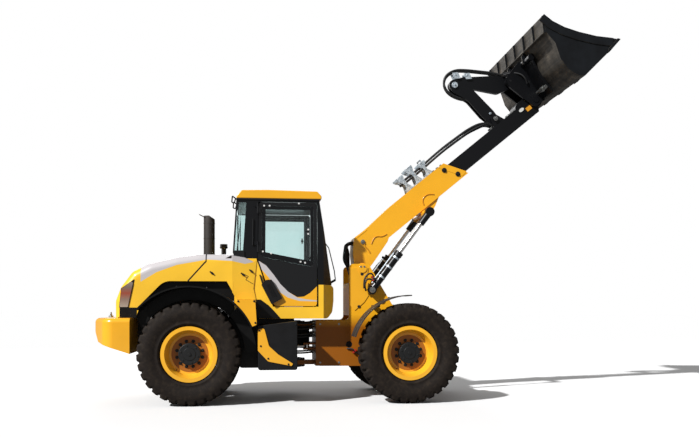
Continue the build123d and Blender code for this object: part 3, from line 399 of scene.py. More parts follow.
def hood_seam(tree, place):
    """1 in the gap between the tilting hood and the fixed quarter behind the cab, 0 elsewhere."""
    low = [(x, z - 14) for x, z in HOOD_SEAM]
    high = [(x, z + 14) for x, z in HOOD_SEAM]
    split = add(tree, "SeparateXYZ", Vector=place)
    rising = between(tree, place, low=low, high=high)
    rising = limited(tree, rising, split.outputs["X"], "GREATER_THAN", at(HOOD_SEAM[0][0], 0, 0).x)
    rising = limited(tree, rising, split.outputs["X"], "LESS_THAN", at(HOOD_SEAM[1][0] + 8, 0, 0).x)
    off = calc(tree, "SUBTRACT", split.outputs["X"], at(SEAM_OVER, 0, 0).x)
    off = calc(tree, "ABSOLUTE", off)
    over = calc(tree, "LESS_THAN", off, 8 * MM)
    over = limited(tree, over, split.outputs["Z"], "GREATER_THAN", 1850 * MM)
    return calc(tree, "MAXIMUM", rising, over)


def hood_band_and_reflection(tree, place, film):
    split = add(tree, "SeparateXYZ", Vector=place)
    side = calc(tree, "ABSOLUTE", split.outputs["Y"])
    # painted reflection behind the hood's seam, silver paint forward of it
    mask = between(tree, place, low=HOOD_BAND_AND_REFLECTION_LOW)
    mask = limited(tree, mask, side, "GREATER_THAN", 655 * MM)
    mask = limited(tree, mask, split.outputs["X"], "GREATER_THAN", at(-640, 0, 0).x)
    mask = limited(tree, mask, split.outputs["X"], "LESS_THAN", at(812, 0, 0).x)
    film = lay(tree, mask, film, linear(SILVER))
    return lay(tree, hood_seam(tree, place), film, linear(BLACK))


def quarter_band(tree, place, film):
    split = add(tree, "SeparateXYZ", Vector=place)
    mask = between(tree, place, low=HOOD_BAND_AND_REFLECTION_LOW, high=HOOD_BAND_TOP)
    mask = limited(tree, mask, split.outputs["X"], "LESS_THAN", at(812, 0, 0).x)
    return lay(tree, mask, film, linear(SILVER))


def door_band(tree, place, film):
    silver = between(tree, place, low=DOOR_BAND_LOW, high=DOOR_BAND_TOP)
    film = lay(tree, silver, film, linear(SILVER))
    black = between(tree, place, low=DOOR_BLACK_LOW)
    return lay(tree, black, film, linear("#090A0D"))


hood_enamel = enamel("yellow enamel with silver band and painted reflection", HIGHLIT_YELLOW, band=hood_band_and_reflection)
quarter_enamel = enamel("yellow enamel with pointed silver band", HIGHLIT_YELLOW, band=quarter_band)
door_enamel = enamel("yellow, silver and black door enamel", YELLOW, band=door_band)
print("three banded enamels")

# %% [markdown]
# The bucket is painted black once and then works in stone and soil. Its sides keep their paint, while the
# shell between them, which slides through the pile, is scoured to a brown-grey film of dust and mill scale
# with long scratches. The shader tells the two apart by the way that the surface faces.

# %% Bucket paint


def bucket_material():
    material, tree, shader, place = new_material("black paint scoured by gravel", IOR=1.5)
    shader.inputs["Specular IOR Level"].default_value = 0.3
    facing = add(tree, "TexCoord", "Normal")
    sideways = add(tree, "SeparateXYZ", "Y", Vector=facing)
    sideways = calc(tree, "ABSOLUTE", sideways)
    shell = spread(tree, sideways, 0.5, 0.8, 1.0, 0.0)
    streaks = add(tree, "Mapping", 0, Vector=place, Scale=(1 / 0.05, 1 / 0.6, 1 / 0.05))
    scratch = add(tree, "TexNoise", "Fac", Vector=streaks, Scale=1.0, Detail=5.0, Roughness=0.65)
    mottle = noise(tree, place, 0.16, 6.0, 0.6)
    worn = calc(tree, "MULTIPLY", scratch, mottle)
    soil = ramp(tree, worn, ((0.16, "#2C2A27"), (0.3, "#4A453E"), (0.42, "#675F54")))
    paint = ramp(tree, mottle, ((0.35, "#090B0E"), (0.7, "#13161A")))
    colour = lay(tree, shell, paint, soil)
    wire(shader, Base_Color=colour)
    dull = spread(tree, shell, 0.0, 1.0, 0.42, 0.68)
    wire(shader, Roughness=dull)
    wire(shader, Normal=bump(tree, worn, 0.6, 0.8 * MM))
    return material


bucket_paint = bucket_material()
print("bucket paint is ready")

# %% [markdown]
# Tyre rubber is carbon black in natural rubber, and it weathers to a warm dark brown. Moulding leaves fine
# rings on the sidewall, which catch the light as faint circles, and dust settles between the lugs. The rings
# follow the distance from the axle, so each wheel has its own copy with its own centre.

# %% Tyre rubber
RING_PITCH = 15 * MM


def tyre_rubber(name, centre):
    material, tree, shader, place = new_material("tyre rubber " + name, IOR=1.52)
    shader.inputs["Specular IOR Level"].default_value = 0.16
    flat = add(tree, "VectorMath", 0, {"operation": "MULTIPLY_ADD"}, i0=place, i1=(1, 0, 1),
               i2=(-centre.x, 0, -centre.z))
    radius = add(tree, "VectorMath", "Value", {"operation": "LENGTH"}, i0=flat)
    turns = calc(tree, "MULTIPLY", radius, 2 * math.pi / RING_PITCH)
    rings = calc(tree, "SINE", turns)
    wall = spread(tree, radius, 0.585, 0.60, 1.0, 0.0)
    rings = calc(tree, "MULTIPLY", rings, wall)
    dust = noise(tree, place, 0.07, 7.0, 0.7)
    colour = ramp(tree, dust, ((0.3, "#17120F"), (0.5, "#201A16"), (0.72, "#312921")))
    wire(shader, Base_Color=colour)
    wire(shader, Roughness=spread(tree, dust, 0.0, 1.0, 0.62, 0.85))
    grain = noise(tree, place, 4 * MM, 3.0)
    relief = add(tree, "Math", 0, {"operation": "MULTIPLY_ADD"}, i0=grain, i1=0.6, i2=rings)
    wire(shader, Normal=bump(tree, relief, 0.7, 0.7 * MM))
    return material


WHEELS = ("front_left", "front_right", "rear_left", "rear_right")
tyre_of = {name: tyre_rubber(name, middle(f"wheel_{name}_tyre")) for name in WHEELS}
print(len(tyre_of), "tyres with rings every", RING_PITCH / MM, "mm")

# %% [markdown]
# Cab glass is toughened sheet with a green-blue tint from the iron in it. Seen square on it is mostly
# clear, and seen at a slant it turns to a mirror, both of which follow from its refractive index. The tint
# takes a little more light in each sheet, so the view through both doors is the greenest.

# %% Tinted glass


def glass_material(name, code, darker):
    material, tree, shader, place = new_material(name, Transmission_Weight=1.0, Roughness=0.0, IOR=1.45)
    drift = noise(tree, place, 0.25, 3.0)
    tint = ramp(tree, drift, ((0.3, darker), (0.7, code)))
    wire(shader, Base_Color=tint)
    return material


cab_glass = glass_material("toughened glass with green-blue tint", "#E1F1F0", "#DCEFEE")
print("cab glass is ready")

# %% [markdown]
# The other finishes are short recipes: hot-dip zinc with its leaf-like spangle, hard chrome on the rods,
# woven hose cover, moulded black plastic with a fine grain, heat-darkened steel on the stacks, cast iron,
# grained vinyl, smoked lens and a few small colours. Each gets its own pattern, because an even colour
# looks like none of them.

# %% Metals


def galvanised_material():
    """Hot-dip zinc: crystals of 12 to 20 mm, each with its own shine."""
    material, tree, shader, place = new_material("hot-dip galvanised steel", Metallic=0.55)
    spangle = add(tree, "TexVoronoi", "Color", Vector=place, Scale=1 / 0.016)
    tone = add(tree, "SeparateXYZ", "X", Vector=spangle)
    colour = ramp(tree, tone, ((0.0, "#A3AFB8"), (1.0, "#D3DCE2")))
    wire(shader, Base_Color=colour)
    wire(shader, Roughness=spread(tree, tone, 0.0, 1.0, 0.38, 0.6))
    return material


def chrome_material():
    """Hard chrome, ground along its length: bright, with a thin film of oil."""
    material, tree, shader, place = new_material("hard chrome on ground rod", Metallic=1.0)
    oil = noise(tree, place, 0.05, 4.0)
    colour = ramp(tree, oil, ((0.3, "#CFCBC6"), (0.7, "#E6E4E2")))
    wire(shader, Base_Color=colour)
    wire(shader, Roughness=spread(tree, oil, 0.0, 1.0, 0.10, 0.26))
    return material


def stack_material():
    """Black heat-proof paint on the exhaust, greyed where it is hottest, towards the outlet."""
    material, tree, shader, place = new_material("heat-darkened stack paint", IOR=1.5)
    up = add(tree, "SeparateXYZ", "Z", Vector=place)
    hot = spread(tree, up, 2.0, 2.55)
    blotch = noise(tree, place, 0.06, 6.0, 0.7)
    share = calc(tree, "MULTIPLY", hot, blotch, clamp=True)
    colour = ramp(tree, share, ((0.0, "#1B1A1B"), (0.35, "#2B2726"), (0.8, "#4C433C")))
    wire(shader, Base_Color=colour)
    wire(shader, Roughness=spread(tree, blotch, 0.0, 1.0, 0.5, 0.8))
    wire(shader, Normal=bump(tree, blotch, 0.4, 0.4 * MM))
    return material


def cast_iron_material():
    """Sand-cast iron under grey primer: the sand's grain of 2 to 3 mm shows through."""
    material, tree, shader, place = new_material("primed cast iron", IOR=1.5)
    sand = noise(tree, place, 3 * MM, 3.0)
    oil = noise(tree, place, 0.15, 5.0)
    colour = ramp(tree, oil, ((0.35, "#2B2B2A"), (0.65, "#4A4A48")))
    wire(shader, Base_Color=colour)
    wire(shader, Roughness=spread(tree, oil, 0.0, 1.0, 0.45, 0.75))
    wire(shader, Normal=bump(tree, sand, 0.6, 0.6 * MM))
    return material


def small_paint(name, code, rough=0.4, metal=0.0):
    """Thin paint or plating on fasteners and caps, with a rubbed tone that changes every centimetre."""
    material, tree, shader, place = new_material(name, Metallic=metal)
    rub = noise(tree, place, 0.012, 3.0)
    colour = linear(code)
    stops = ((0.3, [c * 0.75 for c in colour[:3]] + [1]), (0.7, colour))
    wire(shader, Base_Color=ramp(tree, rub, stops))
    wire(shader, Roughness=spread(tree, rub, 0.0, 1.0, rough - 0.08, rough + 0.12))
    return material


galvanised = galvanised_material()
hard_chrome = chrome_material()
stack_paint = stack_material()
cast_iron = cast_iron_material()
zinc_bolt = small_paint("zinc plated fastener", "#A9ABA8", 0.4, 1.0)
dark_bolt = small_paint("blackened fastener", "#0F1011", 0.45, 0.0)
red_cap = small_paint("red plastic cap", "#B3261C", 0.4)
white_dot = small_paint("white glass clamp cap", "#E9E9E6", 0.35)
plate_white = small_paint("blank white enamelled plate", "#E4E4DF", 0.35)
plate_orange = small_paint("blank orange enamelled plate", "#E9A02A", 0.35)
seam_black = small_paint("rubber in the panel gap", "#0C0B0A", 0.75)
print("metals and small paints are ready")

# %% Plastics, rubber and vinyl
GRAIN = 5 * MM  # moulded leather grain, coarser than the real 1 mm so that it shows


def grained(name, code, light, size=GRAIN, rough=0.6, depth=0.35):
    """Moulded plastic or vinyl: pebbled cells with soft valleys between them."""
    material, tree, shader, place = new_material(name, IOR=1.5)
    shader.inputs["Specular IOR Level"].default_value = 0.28
    cells = add(tree, "TexVoronoi", "Distance", Vector=place, Scale=1 / size)
    cloud = noise(tree, place, 0.12, 4.0)
    stops = ((0.3, code), (0.75, light))
    wire(shader, Base_Color=ramp(tree, cloud, stops))
    wire(shader, Roughness=spread(tree, cloud, 0.0, 1.0, rough - 0.1, rough + 0.1))
    wire(shader, Normal=bump(tree, cells, 0.6, depth * MM))
    return material


WEAVE = 60 * MM  # size of the wave; its slanting bands come out about 22 mm apart


def hose_material():
    """Rubber hose with the slanting print of the cloth that wrapped it while it cured."""
    material, tree, shader, place = new_material("cloth-wrapped hose rubber", IOR=1.5)
    weave = add(tree, "TexWave", "Fac", {"wave_type": "BANDS", "bands_direction": "DIAGONAL"},
                Vector=place, Scale=1 / WEAVE, Distortion=2.0, Detail=2.0)
    stops = ((0.2, "#0B0B0C"), (0.8, "#161718"))
    wire(shader, Base_Color=ramp(tree, weave, stops))
    wire(shader, Roughness=spread(tree, weave, 0.0, 1.0, 0.45, 0.65))
    wire(shader, Normal=bump(tree, weave, 0.5, 0.4 * MM))
    return material


def lens_material():
    """Smoked acrylic lens: fine prisms, 9 mm apart, moulded across it."""
    material, tree, shader, place = new_material("smoked ribbed lens", IOR=1.49, Roughness=0.12, Coat_Weight=0.6)
    up = add(tree, "SeparateXYZ", "Z", Vector=place)
    turns = calc(tree, "MULTIPLY", up, 2 * math.pi / (9 * MM))
    ribs = calc(tree, "SINE", turns)
    share = spread(tree, up, 1.27, 1.58)
    stops = ((0.0, "#A79A8D"), (0.3, "#8D7466"), (0.55, "#9B4A35"), (0.8, "#7E6A5D"), (1.0, "#8F8377"))
    wire(shader, Base_Color=ramp(tree, share, stops))
    wire(shader, Normal=bump(tree, ribs, 0.5, 1.2 * MM))
    return material


moulded_black = grained("moulded black plastic", "#08080A", "#101012")
fender_black = grained("gloss black moulded fender", "#060606", "#0C0B0A", size=9 * MM, rough=0.42, depth=0.1)
fender_grey = grained("grey moulded front fender", "#2B2724", "#433C37", rough=0.5)
seat_vinyl = grained("grained seat vinyl", "#17181A", "#26272A", rough=0.55)
hose_rubber = hose_material()
lamp_lens = lens_material()
print("plastics, vinyl, hose and lens are ready")

# %% [markdown]
# The solids now take their finishes. Most nodes follow their slot in the record, and the few that carry a
# band or a different plastic are named one by one.

# %% Finishes on the solids
BY_SLOT = {
    "yellow_paint": yellow_enamel, "black_paint": black_enamel, "bucket_steel": bucket_paint,
    "stack_steel": stack_paint, "engine_grey": cast_iron, "lamp_lens": lamp_lens, "cab_glazing": cab_glass,
    "seat_vinyl": seat_vinyl, "moulded_plastic": moulded_black, "fender_sheet": fender_grey,
    "galvanised": galvanised, "hose_rubber": hose_rubber, "wheel_yellow": rim_enamel, "chrome_rod": hard_chrome,
}
BY_NODE = {
    "engine_hood": hood_enamel, "cab_tub": quarter_enamel, "door_right": door_enamel,
    "door_left": door_enamel, "rear_fenders": fender_black, "side_boxes": moulded_black,
    "front_frame": frame_enamel,
}
for node, piece in frame["nodes"].items():
    tyre = node[6:-5] if node.endswith("_tyre") else None
    finish = tyre_of[tyre] if tyre else BY_NODE.get(node, BY_SLOT.get(slot_of[node]))
    if not piece.material_slots:
        piece.data.materials.append(finish)
    for holder in piece.material_slots:
        holder.material = finish
print(len(frame["nodes"]), "solids painted")

# %% [markdown]
# Steel plate is never knife-sharp: cut edges are ground and paint rounds them off, and the eye knows it by
# the thin bright line along each edge. The solids arrive as separate facets, so each is welded, flat faces
# are joined, and a narrow bevel is cut on every edge that turns sharply.

# %% Soft edges
WELD_REACH = 0.05 * MM  # corners nearer than this become one
FLAT_ANGLE = 0.6  # degrees; flatter than this is one face
def soften(piece, width_mm, weld=False, angle=28):
    """Ground edges on a piece, without touching its own mesh."""
    if weld:
        join = piece.modifiers.new("weld", "WELD")
        join.merge_threshold = WELD_REACH
        flat = piece.modifiers.new("join flats", "DECIMATE")
        flat.decimate_type = "DISSOLVE"
        flat.angle_limit = math.radians(FLAT_ANGLE)
    bevel = piece.modifiers.new("ground edge", "BEVEL")
    bevel.width = width_mm * MM
    bevel.segments = 2
    bevel.limit_method = "ANGLE"
    bevel.angle_limit = math.radians(angle)
    bevel.use_clamp_overlap = True
    normals = piece.modifiers.new("even normals", "WEIGHTED_NORMAL")
    normals.keep_sharp = False
    normals.weight = 80


EDGES = {  # millimetres of ground edge
    "counterweight": 8, "rear_frame": 4, "front_frame": 5, "cab_tub": 10, "cab_frame": 6, "cab_roof": 12,
    "fender_panels": 6, "side_boxes": 8, "side_panels": 4, "door_right": 5, "door_left": 5, "boom_outer": 4,
    "boom_inner": 4, "coupler": 4, "bucket": 3, "rocker": 4, "tilt_link": 4, "engine_block": 10,
    "hose_guides": 2, "engine_stacks": 2, "front_axle": 6, "rear_axle": 6,
}
for node, width in EDGES.items():
    soften(frame["nodes"][node], width, weld=True)
print(len(EDGES), "solids with ground edges")

# %% [markdown]
# ## Pieces
# Small steel parts are nearly all plates, bars, bands and bolts, so one workbench makes them and gathers
# them into a single mesh for each finish. Hoses are drawn as smooth curves with a round section.

# %% Workbench


class Bench:
    """Plates, bars, bands and bolts gathered into one mesh, all places in metres."""

    def __init__(self):
        self.mesh = bmesh.new()

    def plate(self, outline, push):
        """A flat piece with this outline, as thick as the push is long."""
        low = [self.mesh.verts.new(p) for p in outline]
        high = [self.mesh.verts.new(p + push) for p in outline]
        self.mesh.faces.new(low[::-1])
        self.mesh.faces.new(high)
        for k in range(len(low)):
            n = (k + 1) % len(low)
            self.mesh.faces.new((low[k], low[n], high[n], high[k]))

    def side(self, points, y_low, y_high, place=at):
        """A plate seen from the side, on both flanks of the machine."""
        for hand in SIDES:
            outline = [place(a, hand * y_low, b) for a, b in points]
            self.plate(outline, Vector((0, hand * (y_high - y_low) * MM, 0)))

    def bar(self, start, end, radius, sides=16, tip=None):
        """A round or many-sided bar, with its own radius at the tip if one is given. Radii in millimetres."""
        turn = (end - start).to_track_quat("Z", "Y")
        rings = []
        for place, size in ((start, radius), (end, radius if tip is None else tip)):
            ring = []
            for k in range(sides):
                a = 2 * math.pi * k / sides
                ring.append(self.mesh.verts.new(place + turn @ Vector((math.cos(a), math.sin(a), 0)) * size * MM))
            rings.append(ring)
        self.mesh.faces.new(rings[0][::-1])
        self.mesh.faces.new(rings[1])
        for k in range(sides):
            n = (k + 1) % sides
            self.mesh.faces.new((rings[0][k], rings[0][n], rings[1][n], rings[1][k]))

    def band(self, start, end, inner, outer, sides=48):
        """A hollow band round something, between two radii in millimetres."""
        turn = (end - start).to_track_quat("Z", "Y")
        rings = []
        for place, size in ((start, outer), (end, outer), (end, inner), (start, inner)):
            spokes = [2 * math.pi * k / sides for k in range(sides)]
            rings.append([self.mesh.verts.new(place + turn @ Vector((math.cos(a), math.sin(a), 0)) * size * MM)
                          for a in spokes])
        for ring, after in zip(rings, rings[1:] + rings[:1]):
            for k in range(sides):
                n = (k + 1) % sides
                self.mesh.faces.new((ring[k], ring[n], after[n], after[k]))

    def bolt(self, place, out, width):
        """A washer and a hexagon head of this width across its corners, in millimetres."""
        out = out.normalized() * MM
        self.bar(place - out, place + out * width * 0.12, width * 0.75, 20)
        self.bar(place, place + out * width * 0.55, width * 0.5, 6, width * 0.46)
    def flank_bolts(self, spots, y, width, place=at):
        """A bolt at each spot on both flanks, with its head outwards."""
        for a, b in spots:
            for hand in SIDES:
                self.bolt(place(a, hand * y, b), Vector((0, hand, 0)), width)

    def flank_bars(self, spots, y_low, y_high, radius, sides=16, tip=None, place=at):
        """A bar that stands straight out at each spot on both flanks."""
        for a, b in spots:
            for hand in SIDES:
                self.bar(place(a, hand * y_low, b), place(a, hand * y_high, b), radius, sides, tip)

    def done(self, name, material, body, slot, edge=0.0, angle=35):
        """Turn what lies on the bench into a piece that rides on a body."""
        bmesh.ops.recalc_face_normals(self.mesh, faces=self.mesh.faces)
        data = bpy.data.meshes.new(name)
        self.mesh.to_mesh(data)
        self.mesh.free()
        piece = bpy.data.objects.new(name, data)
        bpy.context.scene.collection.objects.link(piece)
        for face in data.polygons:
            face.use_smooth = True
        data.materials.append(material)
        if edge:
            soften(piece, edge, angle=angle)
        else:
            sharp = piece.modifiers.new("sharp edges", "EDGE_SPLIT")
            sharp.split_angle = math.radians(angle)
        if body:
            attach(piece, body)
        return piece


def hose(name, points, radius, body=None, bend=None, material=None, sides=3):
    """A hose through these places that rides on a body. With a bend it stays where it is drawn and rides on no
    body, and the bend's bodies and places are not used.
    """
    curve = bpy.data.curves.new(name, "CURVE")
    curve.dimensions = "3D"
    curve.bevel_depth = radius * MM
    curve.bevel_resolution = sides
    curve.use_fill_caps = True
    curve.resolution_u = 8
    line = curve.splines.new("NURBS")
    line.points.add(len(points) - 1)
    for spot, place in zip(line.points, points):
        spot.co = (*place, 1)
    line.order_u = 3
    line.use_endpoint_u = True
    drawn = bpy.data.objects.new(name + "_curve", curve)
    data = bpy.data.meshes.new_from_object(drawn)
    bpy.data.objects.remove(drawn)
    bpy.data.curves.remove(curve)
    piece = bpy.data.objects.new(name, data)
    bpy.context.scene.collection.objects.link(piece)
    for face in data.polygons:
        face.use_smooth = True
    data.materials.clear()
    data.materials.append(material or hose_rubber)
    if bend:
        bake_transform(piece)
    else:
        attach(piece, body)
    return piece


print("the bench is clear")

# %% [markdown]
# ### Tyres
# Loader tyres are moulded in one piece: a bulging sidewall with a rim guard near the bead, and two rows
# of deep lugs that meet in the middle like the teeth of a zip. The mesh is a sheet of rings wrapped round
# the axle. Each point is pushed out where it lies on a lug and left down where it lies in a groove, and
# the slope between the two stands for the draft that lets the tyre leave its mould.

# %% Tyres
LUGS = 32  # in each row
TURNS = LUGS * 10  # steps round the tyre
SUNK = 16.5 * MM  # the groove's floor under the section drawn below
RAISED = 11.5 * MM  # the lug's top over it


def wheel_sides(name):
    """The tyre's middle and the way out of the machine."""
    return middle(f"wheel_{name}_tyre"), (1 if "left" in name else -1)


def ease(value, low, high):
    share = min(1, max(0, (value - low) / (high - low)))
    return share * share * (3 - 2 * share)


def tyre_section():
    """Points (radius, across, lug share) from one bead round the tread to the other, in metres."""
    wall = [(0.366, 0.166, 0), (0.372, 0.186, 0), (0.392, 0.197, 0), (0.402, 0.199, 0), (0.412, 0.194, 0),
            (0.440, 0.204, 0), (0.480, 0.215, 0), (0.520, 0.2212, 0), (0.552, 0.2205, 0), (0.580, 0.2150, 0),
            (0.596, 0.2100, 0.0), (0.606, 0.2075, 0.75), (0.622, 0.2015, 1.0), (0.635, 0.1930, 1.0),
            (0.641, 0.1800, 1.0)]
    tread = [(0.6425, 0.15, 1.0), (0.6435, 0.12, 1.0), (0.644, 0.09, 1.0), (0.644, 0.06, 1.0),
             (0.644, 0.035, 1.0), (0.644, 0.015, 1.0)]
    half = wall + tread
    return [(r, -y, s) for r, y, s in half] + [(r, y, s) for r, y, s in reversed(half)]


def lug_rise(angle, across):
    """1 on a lug and 0 in a groove: blocks lean back from the middle and overlap it in turn."""
    row = 0.0 if across > 0 else 0.5
    lean = 0.22 * min(1, abs(across) / 0.2)
    turn = (angle / (2 * math.pi) * LUGS + row + lean) % 1
    half = 0.30 + 0.04 * min(1, abs(across) / 0.2)
    return 1 - ease(abs(turn - 0.5), half, half + 0.07)


def tyre_piece(name):
    centre, hand = wheel_sides(name)
    section = tyre_section()
    mesh = bmesh.new()
    rings = []
    for k in range(TURNS):
        angle = 2 * math.pi * k / TURNS
        out = Vector((math.cos(angle), 0, math.sin(angle)))
        ring = []
        for radius, across, share in section:
            rise = lug_rise(angle, across) * share
            low = radius - SUNK * share
            size = low + (RAISED + SUNK) * rise
            place = centre + out * size + Vector((0, across * hand, 0))
            ring.append(mesh.verts.new(place))
        rings.append(ring)
    for k in range(TURNS):
        here, there = rings[k], rings[(k + 1) % TURNS]
        for n in range(len(section) - 1):
            mesh.faces.new((here[n], here[n + 1], there[n + 1], there[n]))
    bmesh.ops.recalc_face_normals(mesh, faces=mesh.faces)
    data = bpy.data.meshes.new(f"tyre_{name}")
    mesh.to_mesh(data)
    mesh.free()
    piece = bpy.data.objects.new(f"tyre_{name}", data)
    bpy.context.scene.collection.objects.link(piece)
    for face in data.polygons:
        face.use_smooth = True
    data.materials.append(tyre_of[name])
    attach(piece, f"wheel_{name}")
    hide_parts(f"wheel_{name}_tyre")
    return piece


for name in WHEELS:
    tyre_piece(name)
print(4, "tyres of", 2 * LUGS, "lugs")

# %% [markdown]
# ### Hubs
# The rim is bolted to the planetary hub of the axle. The hub and its ring of nuts are black and oily,
# against the yellow disc, and a bent valve stem stands at the foot of the rim's well. A darker orange ring
# over the middle of the disc is painted shade, for the shadow of the rim's lip.

# %% Hubs
HUB_R = 136
NUTS = 12
NUT_CIRCLE = 0.168
for name in WHEELS:
    centre, hand = wheel_sides(name)
    out = Vector((0, hand * MM, 0))
    hub = Bench()
    hub.bar(centre + out * 28, centre + out * 121, HUB_R + 6, 64, HUB_R + 4)
    hub.bar(centre + out * 121, centre + out * 124, HUB_R, 64, HUB_R - 6)
    hub.bar(centre + out * 124, centre + out * 131, HUB_R - 54, 48, HUB_R - 58)
    hub.bar(centre + out * 131, centre + out * 142, 26, 6, 24)
    for k in range(NUTS):
        a = 2 * math.pi * (k + 0.5) / NUTS
        spoke = Vector((math.cos(a), 0, math.sin(a)))
        nut = spoke * NUT_CIRCLE
        hub.bar(centre + out * 30 + nut, centre + out * 62 + nut, 7, 12)
        hub.bolt(centre + out * 36 + nut, out, 30)
        if k % 2:
            hub.bolt(centre + out * 123 + spoke * (HUB_R - 26) * MM, out, 18)
    hub.done(f"hub_{name}", dark_bolt, f"wheel_{name}", "black_paint", edge=1.2)
    # painted shade: this ring over the disc takes the darker wheel yellow
    ring = Bench()
    for low, high, size in ((24, 36, 236), (24, 34, 214)):
        ring.bar(centre + out * low, centre + out * high, size, 64, size - 4)
    ring.done(f"shaded_disc_{name}", shaded_disc_enamel, f"wheel_{name}", "wheel_yellow", edge=2)
    turn = Vector((-0.62, 0, -0.78))
    hose(f"valve_{name}", [centre + out * 60 + turn * 0.272, centre + out * 100 + turn * 0.268,
                           centre + out * 128 + turn * 0.250], 6, f"wheel_{name}", material=dark_bolt)
print(4, "hubs with", NUTS, "nuts each")

# %% [markdown]
# ### Rear end
# Behind the fenders a pressed black liner keeps mud off the engine, and a quarter panel joins the hood to
# each door. The liner and the black sheets inside the arch, under the cab, below the quarter and beside the
# tail lamps are also painted shade, dark where gaps between the panels lie in shade. The hood has black
# latches, the bumper a tow pin with its ring, and the exhaust a beaked outlet that throws rain and soot to
# the rear.

# %% Rear end
body = "rear_body"
AXLE_Z = 661
ARCH_IN = 694
ARCH_OUT = 850


def arch(radius, start, end):
    """Places every five degrees along the wheel arch, from one angle to the other."""
    step = 5 if end > start else -5
    turns = [math.radians(a) for a in range(start, end + step, step)]
    return [(radius * math.cos(t), AXLE_Z + radius * math.sin(t)) for t in turns]


liner = Bench()
liner.side([(-700, 1124), (-905, 1124), (-905, 1256), (-677, 1262), (-571, 1390), (-358, 1594), (461, 1594),
            (591, 1375)] + arch(ARCH_OUT, 45, 0) + arch(ARCH_IN, 0, 155), 690, 700)
liner.side(arch(ARCH_OUT, 45, 0) + arch(ARCH_IN, 0, 45), 721, 726)
# painted shade: black sheets close the gaps inside the arch, under the cab, below the quarter and beside the tail
# lamps
liner.side([(400, 720), (400, 1105), (800, 1105), (800, 720)], 560, 566)
liner.side([(842, 1040), (842, 1135), (1350, 1135), (1350, 1040)], 640, 646)
liner.side([(842, 1362), (905, 1362), (1010, 1285), (1060, 1235), (1170, 1112), (842, 1112)], 721, 725)
liner.side([(-905, 1124), (-905, 1256), (-690, 1256), (-690, 1124)], 781, 786)
liner.done("arch_liners_and_shade_sheets", fender_black, body, "black_paint", edge=2)

QUARTER_REAR = 534
QUARTER_FRONT = 854


def quarter_y(x):
    """How far out the quarter panel stands: flush with the hood, then drawn in towards the door."""
    share = min(1, max(0, (x - QUARTER_REAR) / (QUARTER_FRONT - QUARTER_REAR)))
    return 781 - 53 * share


quarter = Bench()
rows = [(QUARTER_REAR, 1941), (700, 1915), (812, 1862), (QUARTER_FRONT, 1884), (809, 1511), (842, 1366),
        (591, 1366), (QUARTER_REAR, 1462)]
for hand in SIDES:
    outline = [at(x, hand * quarter_y(x), z) for x, z in rows]
    quarter.plate(outline, Vector((0, -hand * 8 * MM, 0)))
    rim = [at(x, hand * 718, z) for x, z in rows]
    for k in range(len(rows)):
        n = (k + 1) % len(rows)
        quarter.plate([outline[k], outline[n], rim[n], rim[k]], Vector((0, 0, -4 * MM)))
quarter.side([(461, 1602), (QUARTER_REAR + 8, 1602), (QUARTER_REAR + 8, 1458)], 773, 781)
quarter.done("quarter_panels", quarter_enamel, body, "yellow_paint", edge=2)

latches = Bench()
for x, z in ((271, 1707), (673, 1691), (782, 1736)):
    y = quarter_y(x)
    for hand in SIDES:
        place = at(x, hand * (y + 7), z)
        lean = Vector((26, 0, -20)) * MM
        latches.bar(place - lean, place + lean, 9, 12)
        latches.bar(at(x, hand * y, z), at(x, hand * (y + 12), z), 15, 16)
latches.done("hood_latches", dark_bolt, body, "black_paint", edge=1)

seams = Bench()
for points in (((710, 1622), (787, 1578), (812, 1566)), ((743, 1667), (655, 1711)), ((743, 1667), (710, 1622))):
    for (x0, z0), (x1, z1) in zip(points, points[1:]):
        along = Vector((x1 - x0, z1 - z0)).normalized()
        side = Vector((-along.y, along.x)) * 3.5
        low, high = Vector((x0, z0)), Vector((x1, z1))
        corners = [low + side, high + side, high - side, low - side]
        for hand in SIDES:
            outline = [at(c.x, hand * (quarter_y(c.x) - 1), c.y) for c in corners]
            seams.plate(outline, Vector((0, hand * 2 * MM, 0)))
seams.done("quarter_seams", seam_black, body, "black_paint")

tow = Bench()
pin = at(-1150, 0, 1122)
tow.bar(pin, pin + Vector((0, 0, 0.026)), 34, 24, 30)
tow.bar(pin + Vector((0, 0, 0.026)), pin + Vector((0, 0, 0.046)), 15, 16)
for k in range(12):
    a, b = math.pi * k / 12, math.pi * (k + 1) / 12
    spots = [pin + Vector((0, 30 * MM * math.cos(t), 46 * MM + 26 * MM * math.sin(t))) for t in (a, b)]
    tow.bar(spots[0], spots[1], 6, 10)
tow.done("tow_pin", zinc_bolt, body, "galvanised", edge=1)

beak = Bench()
beak.plate([at(60, -170, 2546), at(150, -190, 2500), at(150, -50, 2500), at(60, -70, 2546)],
           Vector((0, 0, 5 * MM)))
beak.bar(at(197, -196, 2000), at(197, -120, 2000), 6, 10)
for z in (1990, 2210, 2420):
    beak.bar(at(197, -120, z), at(197, -120, z + 12), 79, 40)
beak.bar(at(385, 150, 2110), at(385, 150, 2122), 56, 32)
beak.done("stack_fittings", stack_paint, body, "stack_steel", edge=1)

# %% [markdown]
# The grille in the hood's back gets a fine black mesh behind the louvres, and the tail lamps get black
# frames. The fenders and the boxes are held by some thirty bolts.

# %% Rear mesh, lamp frames and bolts
mesh = Bench()
for k in range(-21, 22):
    mesh.bar(at(-948, k * 20, 1165), at(-948, k * 20, 1470), 2, 6)
mesh.plate([at(-944, -425, 1168), at(-944, 425, 1168), at(-944, 425, 1468), at(-944, -425, 1468)],
           Vector((3, 0, 0)) * MM)
mesh.done("grille_mesh", seam_black, body, "black_paint")

lamp_frames = Bench()
frame_rows = [(-912, 1256), (-887, 1504), (-723, 1622), (-715, 1614), (-792, 1256)]
lamp_frames.side(frame_rows, 779, 783)
lamp_frames.done("lamp_frames", moulded_black, body, "moulded_plastic", edge=1)

